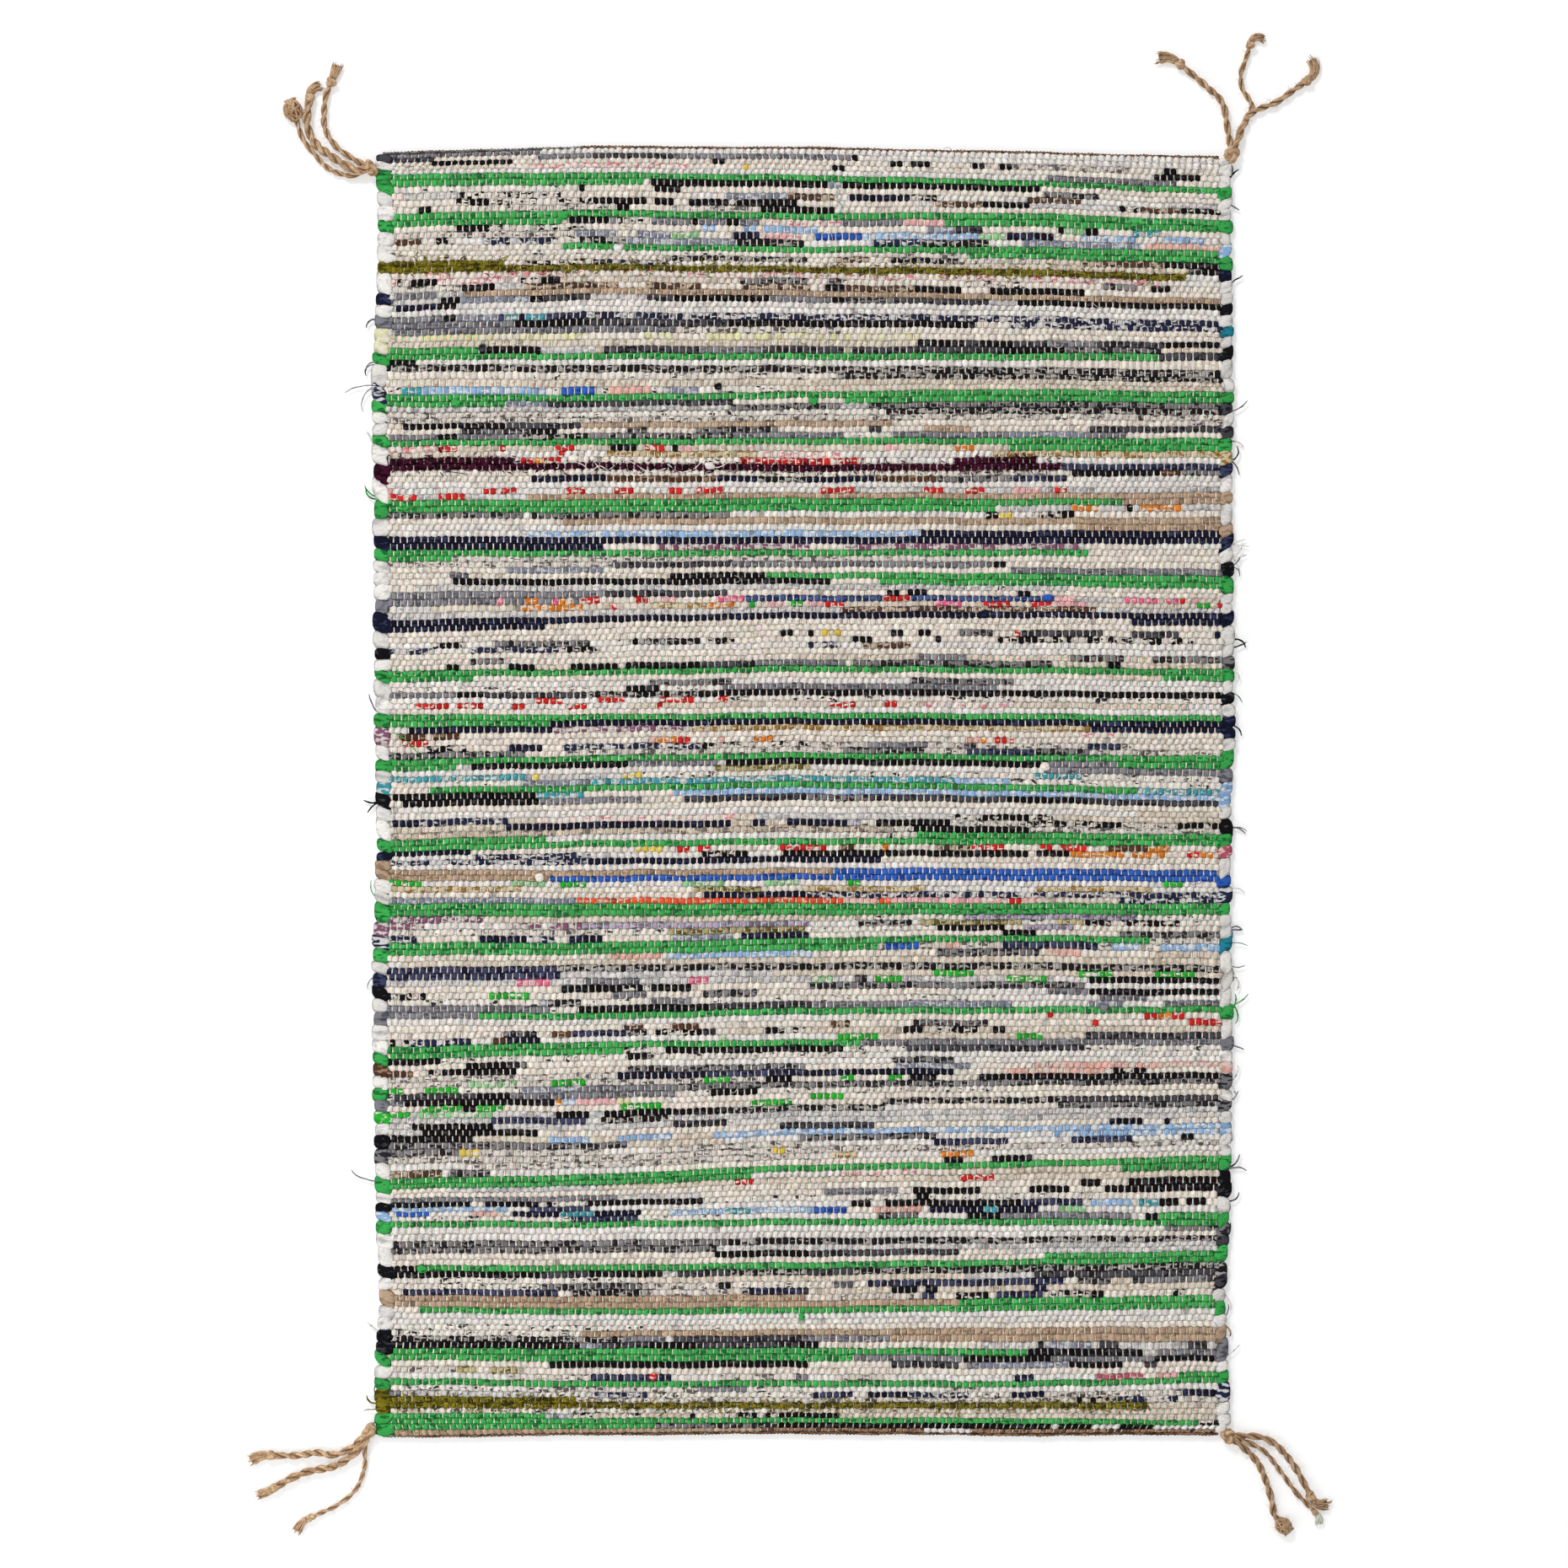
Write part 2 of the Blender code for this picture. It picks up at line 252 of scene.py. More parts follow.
# The cut-up cloths: their dye, the second colour in them, how much of it shows, and how plump
# the rag packs in mm.
rags = {
    "cream": ((232, 224, 213), (212, 198, 184), 0.16, 0.10),
    "white": ((231, 227, 222), (206, 203, 202), 0.16, 0.10),
    "ecru": ((218, 207, 192), (190, 174, 154), 0.20, 0.00),
    "softGrey": ((212, 209, 206), (172, 171, 174), 0.30, -0.05),
    "flecked": ((228, 222, 213), (44, 44, 50), 0.10, 0.00),
    "pinkFleck": ((228, 218, 210), (226, 132, 142), 0.20, 0.00),
    "fineLine": ((214, 207, 198), (96, 92, 92), 0.24, -0.15),
    "beige": ((196, 182, 164), (120, 110, 102), 0.30, 0.00),
    "green": ((60, 166, 80), (28, 108, 50), 0.24, 0.30),
    "leaf": ((38, 168, 48), (226, 222, 212), 0.14, 0.05),
    "paleGreen": ((132, 190, 132), (214, 214, 204), 0.30, 0.00),
    "olive": ((122, 112, 26), (66, 60, 12), 0.36, 0.45),
    "purple": ((66, 14, 40), (26, 4, 16), 0.40, 0.45),
    "black": ((16, 16, 20), (58, 58, 64), 0.14, 0.00),
    "dark": ((70, 70, 78), (30, 30, 36), 0.30, 0.00),
    "grey": ((128, 128, 135), (84, 84, 94), 0.28, 0.00),
    "slate": ((124, 130, 146), (190, 192, 198), 0.35, 0.00),
    "tan": ((180, 154, 129), (146, 121, 98), 0.22, 0.10),
    "brown": ((78, 52, 38), (150, 120, 96), 0.20, 0.00),
    "edgeBrown": ((150, 116, 90), (92, 68, 52), 0.40, -0.30),
    "navy": ((20, 22, 42), (46, 54, 86), 0.20, 0.05),
    "navyPrint": ((34, 40, 68), (206, 204, 204), 0.42, 0.00),
    "print": ((214, 207, 198), (16, 16, 20), 0.55, 0.00),
    "dash": ((212, 205, 196), (18, 18, 22), 0.62, -0.10),
    "sparse": ((222, 215, 206), (18, 18, 22), 0.30, -0.05),
    "indigo": ((62, 68, 98), (26, 28, 52), 0.40, 0.00),
    "denim": ((66, 88, 140), (38, 44, 84), 0.40, 0.00),
    "rose": ((222, 92, 132), (226, 170, 180), 0.30, 0.00),
    "dustyRose": ((180, 88, 106), (216, 178, 176), 0.34, 0.00),
    "blackMarl": ((28, 28, 32), (168, 164, 160), 0.34, 0.00),
    "greyMarl": ((124, 122, 124), (36, 36, 42), 0.42, 0.00),
    "brownMarl": ((80, 58, 48), (188, 170, 150), 0.42, 0.00),
    "ochreMarl": ((206, 190, 158), (150, 112, 50), 0.36, 0.00),
    "oliveMarl": ((176, 166, 120), (94, 86, 44), 0.40, 0.00),
    "blue": ((46, 94, 184), (26, 58, 140), 0.20, 0.10),
    "sky": ((140, 176, 216), (210, 216, 222), 0.36, 0.00),
    "teal": ((62, 148, 160), (196, 206, 204), 0.34, 0.00),
    "deepTeal": ((38, 134, 152), (24, 96, 114), 0.30, 0.00),
    "red": ((200, 38, 36), (226, 216, 206), 0.24, 0.00),
    "orangeRed": ((226, 84, 48), (214, 180, 160), 0.20, 0.00),
    "orange": ((214, 122, 34), (222, 208, 190), 0.28, 0.00),
    "pink": ((226, 166, 168), (224, 212, 202), 0.34, 0.00),
    "salmon": ((224, 168, 156), (214, 200, 188), 0.35, 0.00),
    "mauve": ((130, 84, 110), (206, 198, 194), 0.48, 0.00),
    "lilac": ((172, 160, 182), (110, 104, 122), 0.36, 0.00),
    "yellow": ((222, 192, 70), (224, 214, 190), 0.30, 0.00),
    "lemon": ((218, 215, 162), (224, 218, 202), 0.46, 0.00),
    "headingBrown": ((158, 122, 94), (104, 74, 54), 0.42, 0.00),
    "headingPale": ((160, 150, 142), (104, 98, 98), 0.42, 0.00),
}
furry = ("olive", "purple")

# The rags that show right across: a pick's number, then each rag on it with its first and last
# pixel in the photograph.
stripes = """
6 green 440 1470
7 green 440 765
12 green 440 1470
13 green 440 670 green 1120 1470
17 green 665 728 green 738 1470
18 green 1150 1470
20 olive 436 600
21 olive 436 1408
25 tan 550 1460
29 navyPrint 680 1460
30 navyPrint 1200 1460
34 green 440 570
35 dark 1378 1460 green 440 1378
37 blackMarl 440 1460
38 blackMarl 990 1460
41 green 440 1470
42 green 440 600 green 1000 1470
49 green 440 1470
50 green 1200 1470
52 purple 440 610 purple 1130 1230
53 purple 440 1260
59 green 430 1330
60 green 430 1180
64 navy 1090 1460
65 navy 440 1460
66 navy 440 720
67 green 450 1295
68 green 450 540
71 green 905 1470
72 black 540 985 green 1040 1470
78 navy 440 1460
79 navy 440 650 navy 1340 1460
87 green 440 1470
88 green 440 560 green 1380 1470
95 green 440 1470
96 navy 655 1460 green 440 655
97 navy 487 660 navy 1290 1460
102 green 440 1470
103 green 440 540 green 1325 1470
107 green 510 1350
115 green 440 650 green 1085 1470
116 green 440 1470
121 tan 440 990 blue 990 1460
122 tan 440 650 blue 655 1460
127 green 440 1470
128 green 440 1470
133 green 440 1362
134 green 440 1040
137 indigo 455 665 blackMarl 665 1460
138 indigo 455 665
144 green 570 1470
148 dark 1290 1460
149 grey 1020 1460 green 440 1020
150 dark 1072 1290 green 440 740
164 sky 650 700 sky 735 800 sky 850 1460
165 sky 1250 1460
170 green 440 1470
171 green 440 893 green 1330 1470
178 green 1370 1470
179 green 440 1470
182 greyMarl 440 860 blackMarl 860 1460
183 greyMarl 440 850
185 green 1240 1470
186 green 497 1470
192 green 1140 1470
193 green 500 1470
197 tan 690 1460
198 tan 1060 1460
200 black 1215 1360 grey 1370 1460 green 440 1215
201 black 1150 1250 black 1370 1460 green 440 1010
204 green 1400 1470
205 green 440 1470
208 olive 430 680
209 olive 430 1365
211 green 440 650
212 green 440 1425
213 green 440 775 black 920 1250 black 1258 1296 black 1330 1365
214 tan 440 900 edgeBrown 900 1095 white 1095 1150 edgeBrown 1150 1470
"""

# The shorter runs, read one by one: a row in the photograph, then each rag with its first and last
# pixel. What no row names is a pale rag.
runs = """
186 grey 450 640
184 grey 640 700 dark 700 800 grey 800 960
190 grey 955 1010 black 1010 1022
191 dark 450 515 black 515 605
193 black 845 862
198 pinkFleck 600 830
197 black 987 1003
198 black 1053 1070 black 1083 1100 black 1150 1165
200 black 1189 1203 yellow 880 890
203 black 1376 1395 fineLine 1200 1340
209 black 1365 1422
218 black 768 1238 grey 1238 1400
223 flecked 500 690 black 690 694 black 702 706 black 775 806 slate 980 1000
231 softGrey 480 545 sparse 545 665 slate 860 930 brownMarl 930 990 greyMarl 1240 1300
238 dash 538 600 sparse 600 700 black 700 735 black 735 765 black 772 803 black 813 862 black 885 950
238 navy 1010 1080 dash 1080 1110
240 dash 862 885 brownMarl 1110 1165 black 1165 1220 brownMarl 1220 1280
245 fineLine 600 730 black 730 750 fineLine 800 900
248 black 495 515 black 900 955 black 955 990 dash 1330 1360
251 brownMarl 1350 1400 dash 1400 1450
261 black 672 727 grey 727 1075 pink 1075 1125
265 dash 730 770 black 820 828 black 862 876
268 black 540 560 dash 560 600 sparse 600 700 pinkFleck 900 1000
270 slate 1100 1130 dark 1130 1162
275 slate 755 795 paleGreen 800 825 sky 830 852 sky 880 900 sky 905 970 black 1258 1300
278 fineLine 480 690 slate 685 735 blue 970 1022 paleGreen 1262 1285
281 navy 870 902 pink 905 950 sky 1025 1170 navy 1190 1250 sky 1285 1345 teal 1345 1375
283 sparse 570 700
284 sky 1380 1430 paleGreen 1160 1190
288 brownMarl 455 500 dash 520 545 navyPrint 572 655 blackMarl 690 740 slate 745 870
289 blackMarl 870 955 navyPrint 1030 1090 blackMarl 1090 1170 slate 1210 1350
292 salmon 1360 1440
302 flecked 620 860 fineLine 1000 1180
309 sparse 620 700 navyPrint 700 790 blackMarl 790 955 brownMarl 995 1035 blackMarl 1055 1140
309 fineLine 1140 1240
315 black 1380 1450 brownMarl 1280 1380
322 black 1425 1450 greyMarl 1405 1425
327 pinkFleck 460 1400
332 pinkFleck 460 620 sparse 615 640 black 640 662 greyMarl 880 960 greyMarl 984 1002
339 dash 470 480 black 490 520 black 545 592 brownMarl 618 735 brownMarl 770 832 brownMarl 880 960
341 black 975 1000 brownMarl 1000 1090 black 1085 1140 sparse 1140 1220 greyMarl 1310 1350
345 black 1170 1240 black 1240 1290 black 1368 1386 fineLine 470 545
354 grey 470 520 black 520 545 slate 545 625 black 625 645 dark 645 700 dark 765 800 black 800 915
356 grey 915 985 black 985 1000 greyMarl 1000 1060 dark 1060 1175
359 black 1205 1300
364 black 1300 1460
363 navy 465 520 black 520 545
374 navy 610 622 teal 622 645 indigo 645 960
377 indigo 560 595 teal 595 612
381 grey 455 530 black 525 545 slate 545 590
384 grey 455 620 black 612 700 dark 700 860 black 860 960 black 965 1155
391 grey 470 800 fineLine 800 1000
399 lemon 766 795 lemon 840 890 lemon 890 1090
404 lemon 470 690
414 black 570 640 softGrey 640 710 dark 715 830 grey 830 900 dark 900 1000
415 dark 1010 1100
409 black 1090 1135 dark 1140 1240 black 1160 1200 grey 1240 1300 dark 1300 1380
412 black 1380 1460
417 dark 1100 1200 black 1190 1260 greyMarl 1260 1380
430 black 450 495
461 teal 480 505
467 sky 505 650 blue 663 702 salmon 725 775 slate 785 830
481 slate 545 650 dark 650 870 greyMarl 870 1000 greyMarl 1030 1460
487 blackMarl 1050 1460
503 black 475 600 dark 600 690 tan 690 1060
507 tan 1095 1155
510 dark 545 562 greyMarl 562 640 black 630 665 greyMarl 740 770 greyMarl 825 920 dark 1033 1048
509 dark 1290 1450
516 grey 460 520 black 518 545 grey 545 620 blackMarl 620 700 greyMarl 700 870 grey 870 1000
517 grey 1060 1200 slate 1200 1290 grey 1290 1340
530 red 485 542 red 590 597 red 655 682 black 727 752 red 763 790 black 794 802 pink 805 822 pink 888 896
530 pink 1048 1066 orange 1130 1156
536 pinkFleck 450 520 red 665 672 pinkFleck 890 1000
540 ochreMarl 1180 1460 ochreMarl 720 900
546 red 618 632 orange 632 652 red 652 668 red 878 1024
552 indigo 1262 1460
566 navy 630 720 brown 720 850 navy 850 900 blackMarl 900 960 navy 960 1035 brown 1035 1110
566 greyMarl 1110 1200 indigo 1200 1270
560 black 1270 1380 brown 1380 1400 greyMarl 1400 1460
580 red 575 612 red 668 698 red 724 756 red 793 806 red 828 862 red 975 1012 red 1092 1116 red 1142 1172
580 pink 1200 1235 red 1254 1266 pink 455 470
587 red 458 496 red 520 556 tan 622 1460
594 tan 1275 1460
602 orange 1272 1302 orange 1350 1365 orange 1368 1400 dash 1335 1348
609 greyMarl 640 870 dash 1170 1185 yellow 1186 1200 dash 1230 1276
612 greyMarl 630 730
615 greyMarl 455 620
620 tan 665 1460
625 tan 1275 1460
635 sky 630 1160
647 mauve 780 960 mauve 1000 1290
669 dark 725 870 grey 870 1180 black 1180 1197
675 slate 605 720
676 grey 1197 1460
680 grey 533 556 black 790 905
687 greyMarl 533 556
700 black 1052 1068 black 1075 1080 black 1085 1102 sparse 1180 1195
703 dark 720 860 black 1210 1225 red 1318 1324
707 grey 455 720 denim 850 1250
714 grey 455 700
716 rose 590 600 orange 620 640 rose 655 665 orange 665 680 red 690 715 red 725 735
714 red 755 768 pink 768 805 rose 855 880 leaf 885 895 pink 915 925 leaf 940 950 pink 955 975 red 975 1000
711 red 1050 1080
717 rose 1110 1140 red 1165 1200 red 1225 1245 pink 1245 1285
708 pink 1255 1280
715 rose 1330 1375 rose 1385 1395 red 1395 1405 pink 1410 1420
718 leaf 1420 1435 red 1440 1450
721 orange 620 690 ochreMarl 775 860 orange 840 870 brownMarl 1000 1300
748 black 1055 1070 black 1085 1105
752 black 925 942 black 955 970 yellow 975 1000 greyMarl 1140 1180 red 1205 1214 dark 1215 1310
752 dark 1345 1395
757 black 1010 1035 black 1105 1120 navy 1440 1460
763 dash 735 760 blackMarl 755 830 dash 840 870 navyPrint 960 1000 brownMarl 1020 1080 dash 1180 1420
764 dash 510 555 greyMarl 590 700
771 navyPrint 455 520 navyPrint 560 660 dash 660 712
779 grey 1085 1150 greyMarl 1265 1330
785 greyMarl 560 600 grey 900 1000 greyMarl 1010 1120 greyMarl 1120 1250 greyMarl 1370 1450
787 black 745 835 dark 835 900 black 1310 1330
791 black 605 635 black 680 735
793 black 525 545
808 greyMarl 770 870 greyMarl 1080 1200
814 grey 860 1060 grey 1060 1180
818 black 740 780
821 blackMarl 700 830 black 830 1460
825 grey 455 540 black 540 572 dark 572 700
828 red 635 665 red 710 745 red 785 820 red 850 865
834 red 980 1012 red 1045 1068 pinkFleck 1100 1200
836 red 490 530 red 540 572 red 605 625 red 670 695 red 775 785
864 mauve 640 820
867 ochreMarl 820 1460
875 salmon 770 780 orange 780 805 red 805 820 salmon 850 860 orange 895 920 salmon 1145 1160
875 orange 1160 1170 red 1175 1200 pinkFleck 1280 1330
877 brown 470 505 brown 515 545
881 red 480 510
884 navyPrint 790 830 sparse 830 870 sparse 900 960 grey 1025 1100 greyMarl 1140 1160
889 dash 500 555 navy 605 640 navyPrint 670 780 greyMarl 1000 1100 indigo 1150 1230 greyMarl 1230 1290
889 indigo 1290 1330
897 greyMarl 455 620
905 black 560 750 grey 1240 1460
902 grey 750 850 black 860 1240
909 oliveMarl 850 960
912 grey 1240 1460
920 yellow 633 643 yellow 740 765
926 teal 455 620 slate 620 700 teal 700 1000
923 teal 1000 1130 sky 1130 1200 teal 1230 1280
940 teal 640 690 sky 800 1300
937 teal 1330 1460
943 black 455 640 sky 1300 1460
946 grey 640 760 dark 810 960 greyMarl 960 1030 dark 1030 1460
951 black 480 640 black 1190 1290
970 pinkFleck 640 870
973 navy 890 910 navy 930 1002 slate 1005 1020 black 1040 1130 dash 1130 1250
977 navy 455 500 navyPrint 500 600 navy 600 870 dash 1250 1330 dash 1380 1460
981 black 1085 1220 dash 1220 1300
987 beige 455 1060
1004 yellow 755 785 red 800 815 red 825 845 red 925 985 brown 1000 1015 orange 1045 1055
1004 brownMarl 1110 1150 red 1155 1195 red 1235 1245 red 1255 1290 brown 1310 1360 orange 1360 1385
1011 dash 830 870 black 870 890 black 925 1220 black 1230 1265 orange 1270 1330 orange 1340 1380
1011 red 1410 1425 orange 1425 1440
1014 navy 455 560 navyPrint 560 700
1018 navy 700 1045
1021 navyPrint 455 700
1050 leaf 462 500 paleGreen 608 648 leaf 665 700 paleGreen 810 860 paleGreen 908 948 leaf 1003 1025
1050 leaf 1375 1400
1057 ochreMarl 455 620 oliveMarl 820 900 ochreMarl 950 1100 ochreMarl 1230 1370
1061 navy 835 960 navyPrint 960 1460
1065 slate 455 680
1068 orangeRed 683 1000 salmon 1000 1040 orangeRed 1040 1062 pink 1062 1200 red 1200 1216 salmon 1216 1240
1068 navyPrint 1330 1460
1089 mauve 455 570 lilac 1140 1350
1096 mauve 455 500 mauve 605 640 mauve 650 690 lilac 690 960 blackMarl 1020 1082 oliveMarl 1088 1212
1096 oliveMarl 1250 1290 dash 1290 1400
1103 fineLine 560 700 oliveMarl 790 960 black 1108 1190 lilac 1220 1270
1107 black 1190 1230 greyMarl 1330 1460
1109 navy 878 960
1112 navyPrint 460 492 navy 572 622 navyPrint 622 662 navy 675 712 slate 800 870
1121 blue 1050 1090 salmon 1112 1140 indigo 1190 1300
1127 greyMarl 1110 1232 salmon 1240 1282 sky 1320 1350 sky 1380 1440
1133 salmon 720 782 sky 790 960
1152 leaf 1108 1156 leaf 1276 1322
1159 paleGreen 960 992 greyMarl 1010 1030 leaf 1034 1072 leaf 1194 1242 leaf 1370 1414
1166 rose 612 652 grey 690 760 rose 820 842 greyMarl 960 1290 black 1290 1460
1171 black 665 740 dash 740 770 black 770 822
1174 black 1290 1460
1178 grey 1240 1290
1180 grey 730 770 greyMarl 830 900 grey 1300 1360
1181 leaf 578 632
1185 dash 455 510 grey 770 820
1189 slate 640 690 grey 950 1070 slate 1070 1200 slate 1290 1330 grey 1380 1440
1193 blackMarl 650 690 black 690 840 dark 840 960
1198 grey 455 650
1204 grey 460 570
1205 red 1358 1374 orange 1374 1390 red 1390 1402
1208 red 1246 1252
1212 red 1296 1304 red 1410 1442
1214 brown 795 830 brownMarl 984 1012 greyMarl 1080 1172
1220 brownMarl 740 766 dash 905 960 black 1068 1096 dash 1112 1160 black 1180 1192
1227 greyMarl 600 640 brown 655 682 indigo 682 742 blackMarl 742 766 print 780 832 dark 836 852
1227 paleGreen 852 862 leaf 995 1042 leaf 1204 1242
1235 dash 460 490 navyPrint 490 562 brown 585 600 navy 600 642
1242 black 962 1002
1250 dash 700 745 black 745 772
1247 black 785 960
1259 black 455 522
1260 greyMarl 1060 1130 salmon 1228 1452
1263 black 550 602 greyMarl 602 622
1267 greyMarl 740 960 slate 1060 1150 salmon 1186 1310 dash 1310 1360
1275 brown 455 492 dash 505 520 black 520 610 navy 730 840 indigo 840 900
1271 indigo 900 960 navy 950 1130
1276 leaf 998 1010 leaf 1054 1072 black 1080 1112 black 1160 1460
1280 leaf 838 868 black 905 936
1284 greyMarl 950 1180 greyMarl 1165 1455
1287 paleGreen 558 610 leaf 656 696 greyMarl 786 960
1293 slate 620 690 grey 690 800 black 840 900
1296 leaf 458 480 leaf 504 548
1302 dark 470 565 black 565 602 grey 602 800 dark 1255 1460
1303 leaf 964 1002
1307 grey 455 480 black 480 655 orange 655 664 sky 664 682 pink 684 736 lemon 736 750 leaf 890 942
1308 blackMarl 1050 1260 greyMarl 1255 1460
1312 blackMarl 860 1050
1315 leaf 500 545 black 545 566 leaf 566 600 leaf 738 782
1320 leaf 455 490 black 718 862
1323 paleGreen 498 582 black 660 702
1328 blackMarl 715 790 black 1318 1356 black 1380 1390
1332 indigo 580 692 dark 925 1036
1335 black 485 582 dark 798 866
1346 black 500 642 greyMarl 950 1110 black 1400 1420
1351 indigo 1110 1200 indigo 1270 1340
1353 black 455 560
1357 greyMarl 455 742 fineLine 770 960
1364 greyMarl 455 562 yellow 916 932
1368 ochreMarl 985 1020 orange 1112 1152
1370 yellow 548 566
1374 black 1118 1146 black 1178 1222
1382 fineLine 560 960
1391 brownMarl 455 522 greyMarl 530 580
1394 pinkFleck 1000 1120 red 1140 1178
1400 black 1278 1302 black 1335 1460
1405 red 870 896
1407 black 1308 1460
1410 grey 978 1062 black 1084 1162 black 1220 1266
1418 black 1084 1106
1421 grey 460 730 softGrey 730 830
1426 black 693 832 black 1008 1032 black 1048 1212 indigo 1212 1284 sky 1292 1342 teal 1348 1372
1426 black 1374 1400 black 1404 1428
1430 black 455 560 black 575 642 dash 642 668
1432 salmon 1038 1092 navy 1100 1164 teal 1164 1182 navy 1182 1232 paleGreen 1258 1292
1436 sky 455 600 indigo 628 702 sky 798 862 teal 862 888 sky 888 962 blue 962 1006
1440 greyMarl 1044 1086 black 1148 1192 grey 1190 1342 black 1358 1376
1442 blue 468 506 salmon 558 588 navy 604 666 teal 666 702 navy 702 758
1447 indigo 680 760
1459 greyMarl 1384 1452
1484 black 850 960 dark 960 1140
1505 black 455 500 dark 950 1010 blackMarl 1010 1060 blackMarl 1260 1460
1508 blackMarl 1060 1260 dark 1230 1460
1512 black 455 640 dark 640 700 black 700 790 dark 800 870 blackMarl 870 960
1515 dark 1340 1440
1521 grey 985 1010 indigo 1028 1060 indigo 1060 1105 indigo 1105 1260 greyMarl 1280 1320 grey 1355 1432
1527 black 855 870 black 1053 1090 black 1098 1112 indigo 1225 1240
1528 greyMarl 640 760 fineLine 760 830 blackMarl 880 960
1534 indigo 480 600 indigo 600 660 blackMarl 680 770 fineLine 770 860 indigo 890 960
1535 dark 950 960 fineLine 980 1090 indigo 1095 1110 dash 1130 1170 indigo 1185 1240 dash 1240 1310
1535 dash 1390 1410
1541 tan 455 960
1547 tan 455 1140
1587 blackMarl 455 640 blackMarl 640 740 grey 740 790 dark 800 960 grey 955 1060
1592 dark 1232 1260 dark 1310 1330
1594 black 455 640 black 640 690 slate 690 710 dark 710 770 black 770 830 dark 830 960
1595 black 950 975
1598 slate 1235 1262 slate 1262 1298 dark 1300 1310 dark 1408 1432
1610 black 1138 1152 red 1148 1156
1614 grey 950 1050 grey 1050 1140 grey 1250 1370
1616 black 655 960
1619 dark 1060 1140 black 1290 1330 black 1235 1290
1621 grey 1145 1160 slate 1160 1270 dark 1360 1372
1626 oliveMarl 545 565 oliveMarl 585 612
1623 fineLine 455 540
1631 fineLine 850 960
1629 dustyRose 1302 1322 pink 1370 1430
1635 fineLine 600 700 indigo 700 800 fineLine 990 1060 indigo 1200 1230 dustyRose 1320 1360 grey 940 960
1648 fineLine 640 830 grey 830 890 fineLine 1120 1160
1650 navy 1405 1460
1653 grey 455 480 softGrey 480 640
1657 navyPrint 700 770 indigo 960 1010 navy 1025 1080 navyPrint 1080 1150 navy 1200 1240 dash 1280 1320
1657 navyPrint 1320 1360 navyPrint 1385 1400
1677 slate 640 690
1681 dash 680 700 dash 740 760 black 815 825 dash 860 960 black 955 995
1690 greyMarl 780 920 dash 1365 1440
"""


def sideAt(y, sign):
    # Distance in metres from the middle line to the left side, -1, or the right side, 1.
    return np.interp(y / mm, sideRows[:, 0], sideRows[:, 1 if sign < 0 else 2]) * mm


# Where the picks' middle lines run, in metres at the five places.
rowX = fromLeft(np.array(rowPlaces))
pickNumbers = np.arange(0, rug["pickCount"] + 2)
rowY = np.array([np.interp(pickNumbers, pickRows[:, 0], fromTop(row)) for row in pickRows[:, 1:].T]).T
rowY[0] = rowY[1] + (rowY[1] - rowY[2])
rowY[-1] = rowY[-2] - (rowY[-3] - rowY[-2])
wanderWaves = rng.uniform(0, 2 * math.pi, (len(pickNumbers), 4))
for at in range(1, 3):
    wanderWaves[at:] = wanderWaves[at:] * 0.5 + wanderWaves[:-at] * 0.5


def pickY(pick, x):
    # The height of a pick's middle line in metres at places x along it.
    y = np.interp(x, rowX, rowY[pick])
    waves = wanderWaves[pick]
    calm = min(1.0, (pick - 0.5) / rug["calmPicks"], (rug["pickCount"] + 0.5 - pick) / rug["calmPicks"])
    sway = sum(share * np.sin(x * often + wave) for (often, share), wave in zip(rug["waves"], waves))
    return y + sway * rug["wander"] * mm * 0.5 * max(calm, 0)


def weaveEnds(pick):
    middle = float(rowY[pick].mean())
    left = -sideAt(middle, -1) + rug["leftTurn"] * mm
    right = sideAt(middle, 1) - rug["rightTurn"] * mm
    return left, right


warpEnds = 2 * rug["warpPairs"]
cellCount = warpEnds + 2
cellRag = np.full((rug["pickCount"] + 2, cellCount), "cream", dtype=object)


def cellX(pick):
    left, right = weaveEnds(pick)
    return left + (right - left) * np.arange(cellCount) / (warpEnds - 1)


# The cloths of the pale weft, how much of it each makes, and how many warp ends a strip lasts.
paleShares = {"cream": 0.37, "white": 0.27, "ecru": 0.13, "softGrey": 0.07, "flecked": 0.10,
              "fineLine": 0.06}
stripLength = (40, 420)


def layPaleRags():
    # The pale weft runs to and fro, and changes from one cloth to the next as its strips end.
    left = 0
    for pick in range(1, rug["pickCount"] + 1):
        order = range(cellCount) if pick % 2 else range(cellCount - 1, -1, -1)
        for cell in order:
            if left <= 0:
                kind = str(rng.choice(list(paleShares), p=list(paleShares.values())))
                left = rng.integers(*stripLength)
            cellRag[pick, cell] = kind
            left -= 1


def layRag(name, pick, start, end):
    if 1 <= pick <= rug["pickCount"]:
        x = cellX(pick)
        low = fromLeft(start) if start > photo["leftSide"] else -1
        high = fromLeft(end) if end < photo["rightSide"] else 1
        cellRag[pick, (x >= low) & (x < high)] = name


def pickAt(row, pixel):
    # The pick that lies nearest to a place in the photograph.
    x = fromLeft(pixel)
    heights = [np.interp(x, rowX, rowY[pick]) for pick in pickNumbers]
    return int(np.argmin(np.abs(np.array(heights) - fromTop(row))))


def layChart(chart, pickOf):
    for line in chart.strip().split("\n"):
        place, entries = line.split(maxsplit=1)
        for name, start, end in readChart(entries, 2):
            layRag(name, pickOf(float(place), (start + end) / 2), start, end)


layPaleRags()
layChart(runs, pickAt)
layChart(stripes, lambda pick, middle: int(pick))

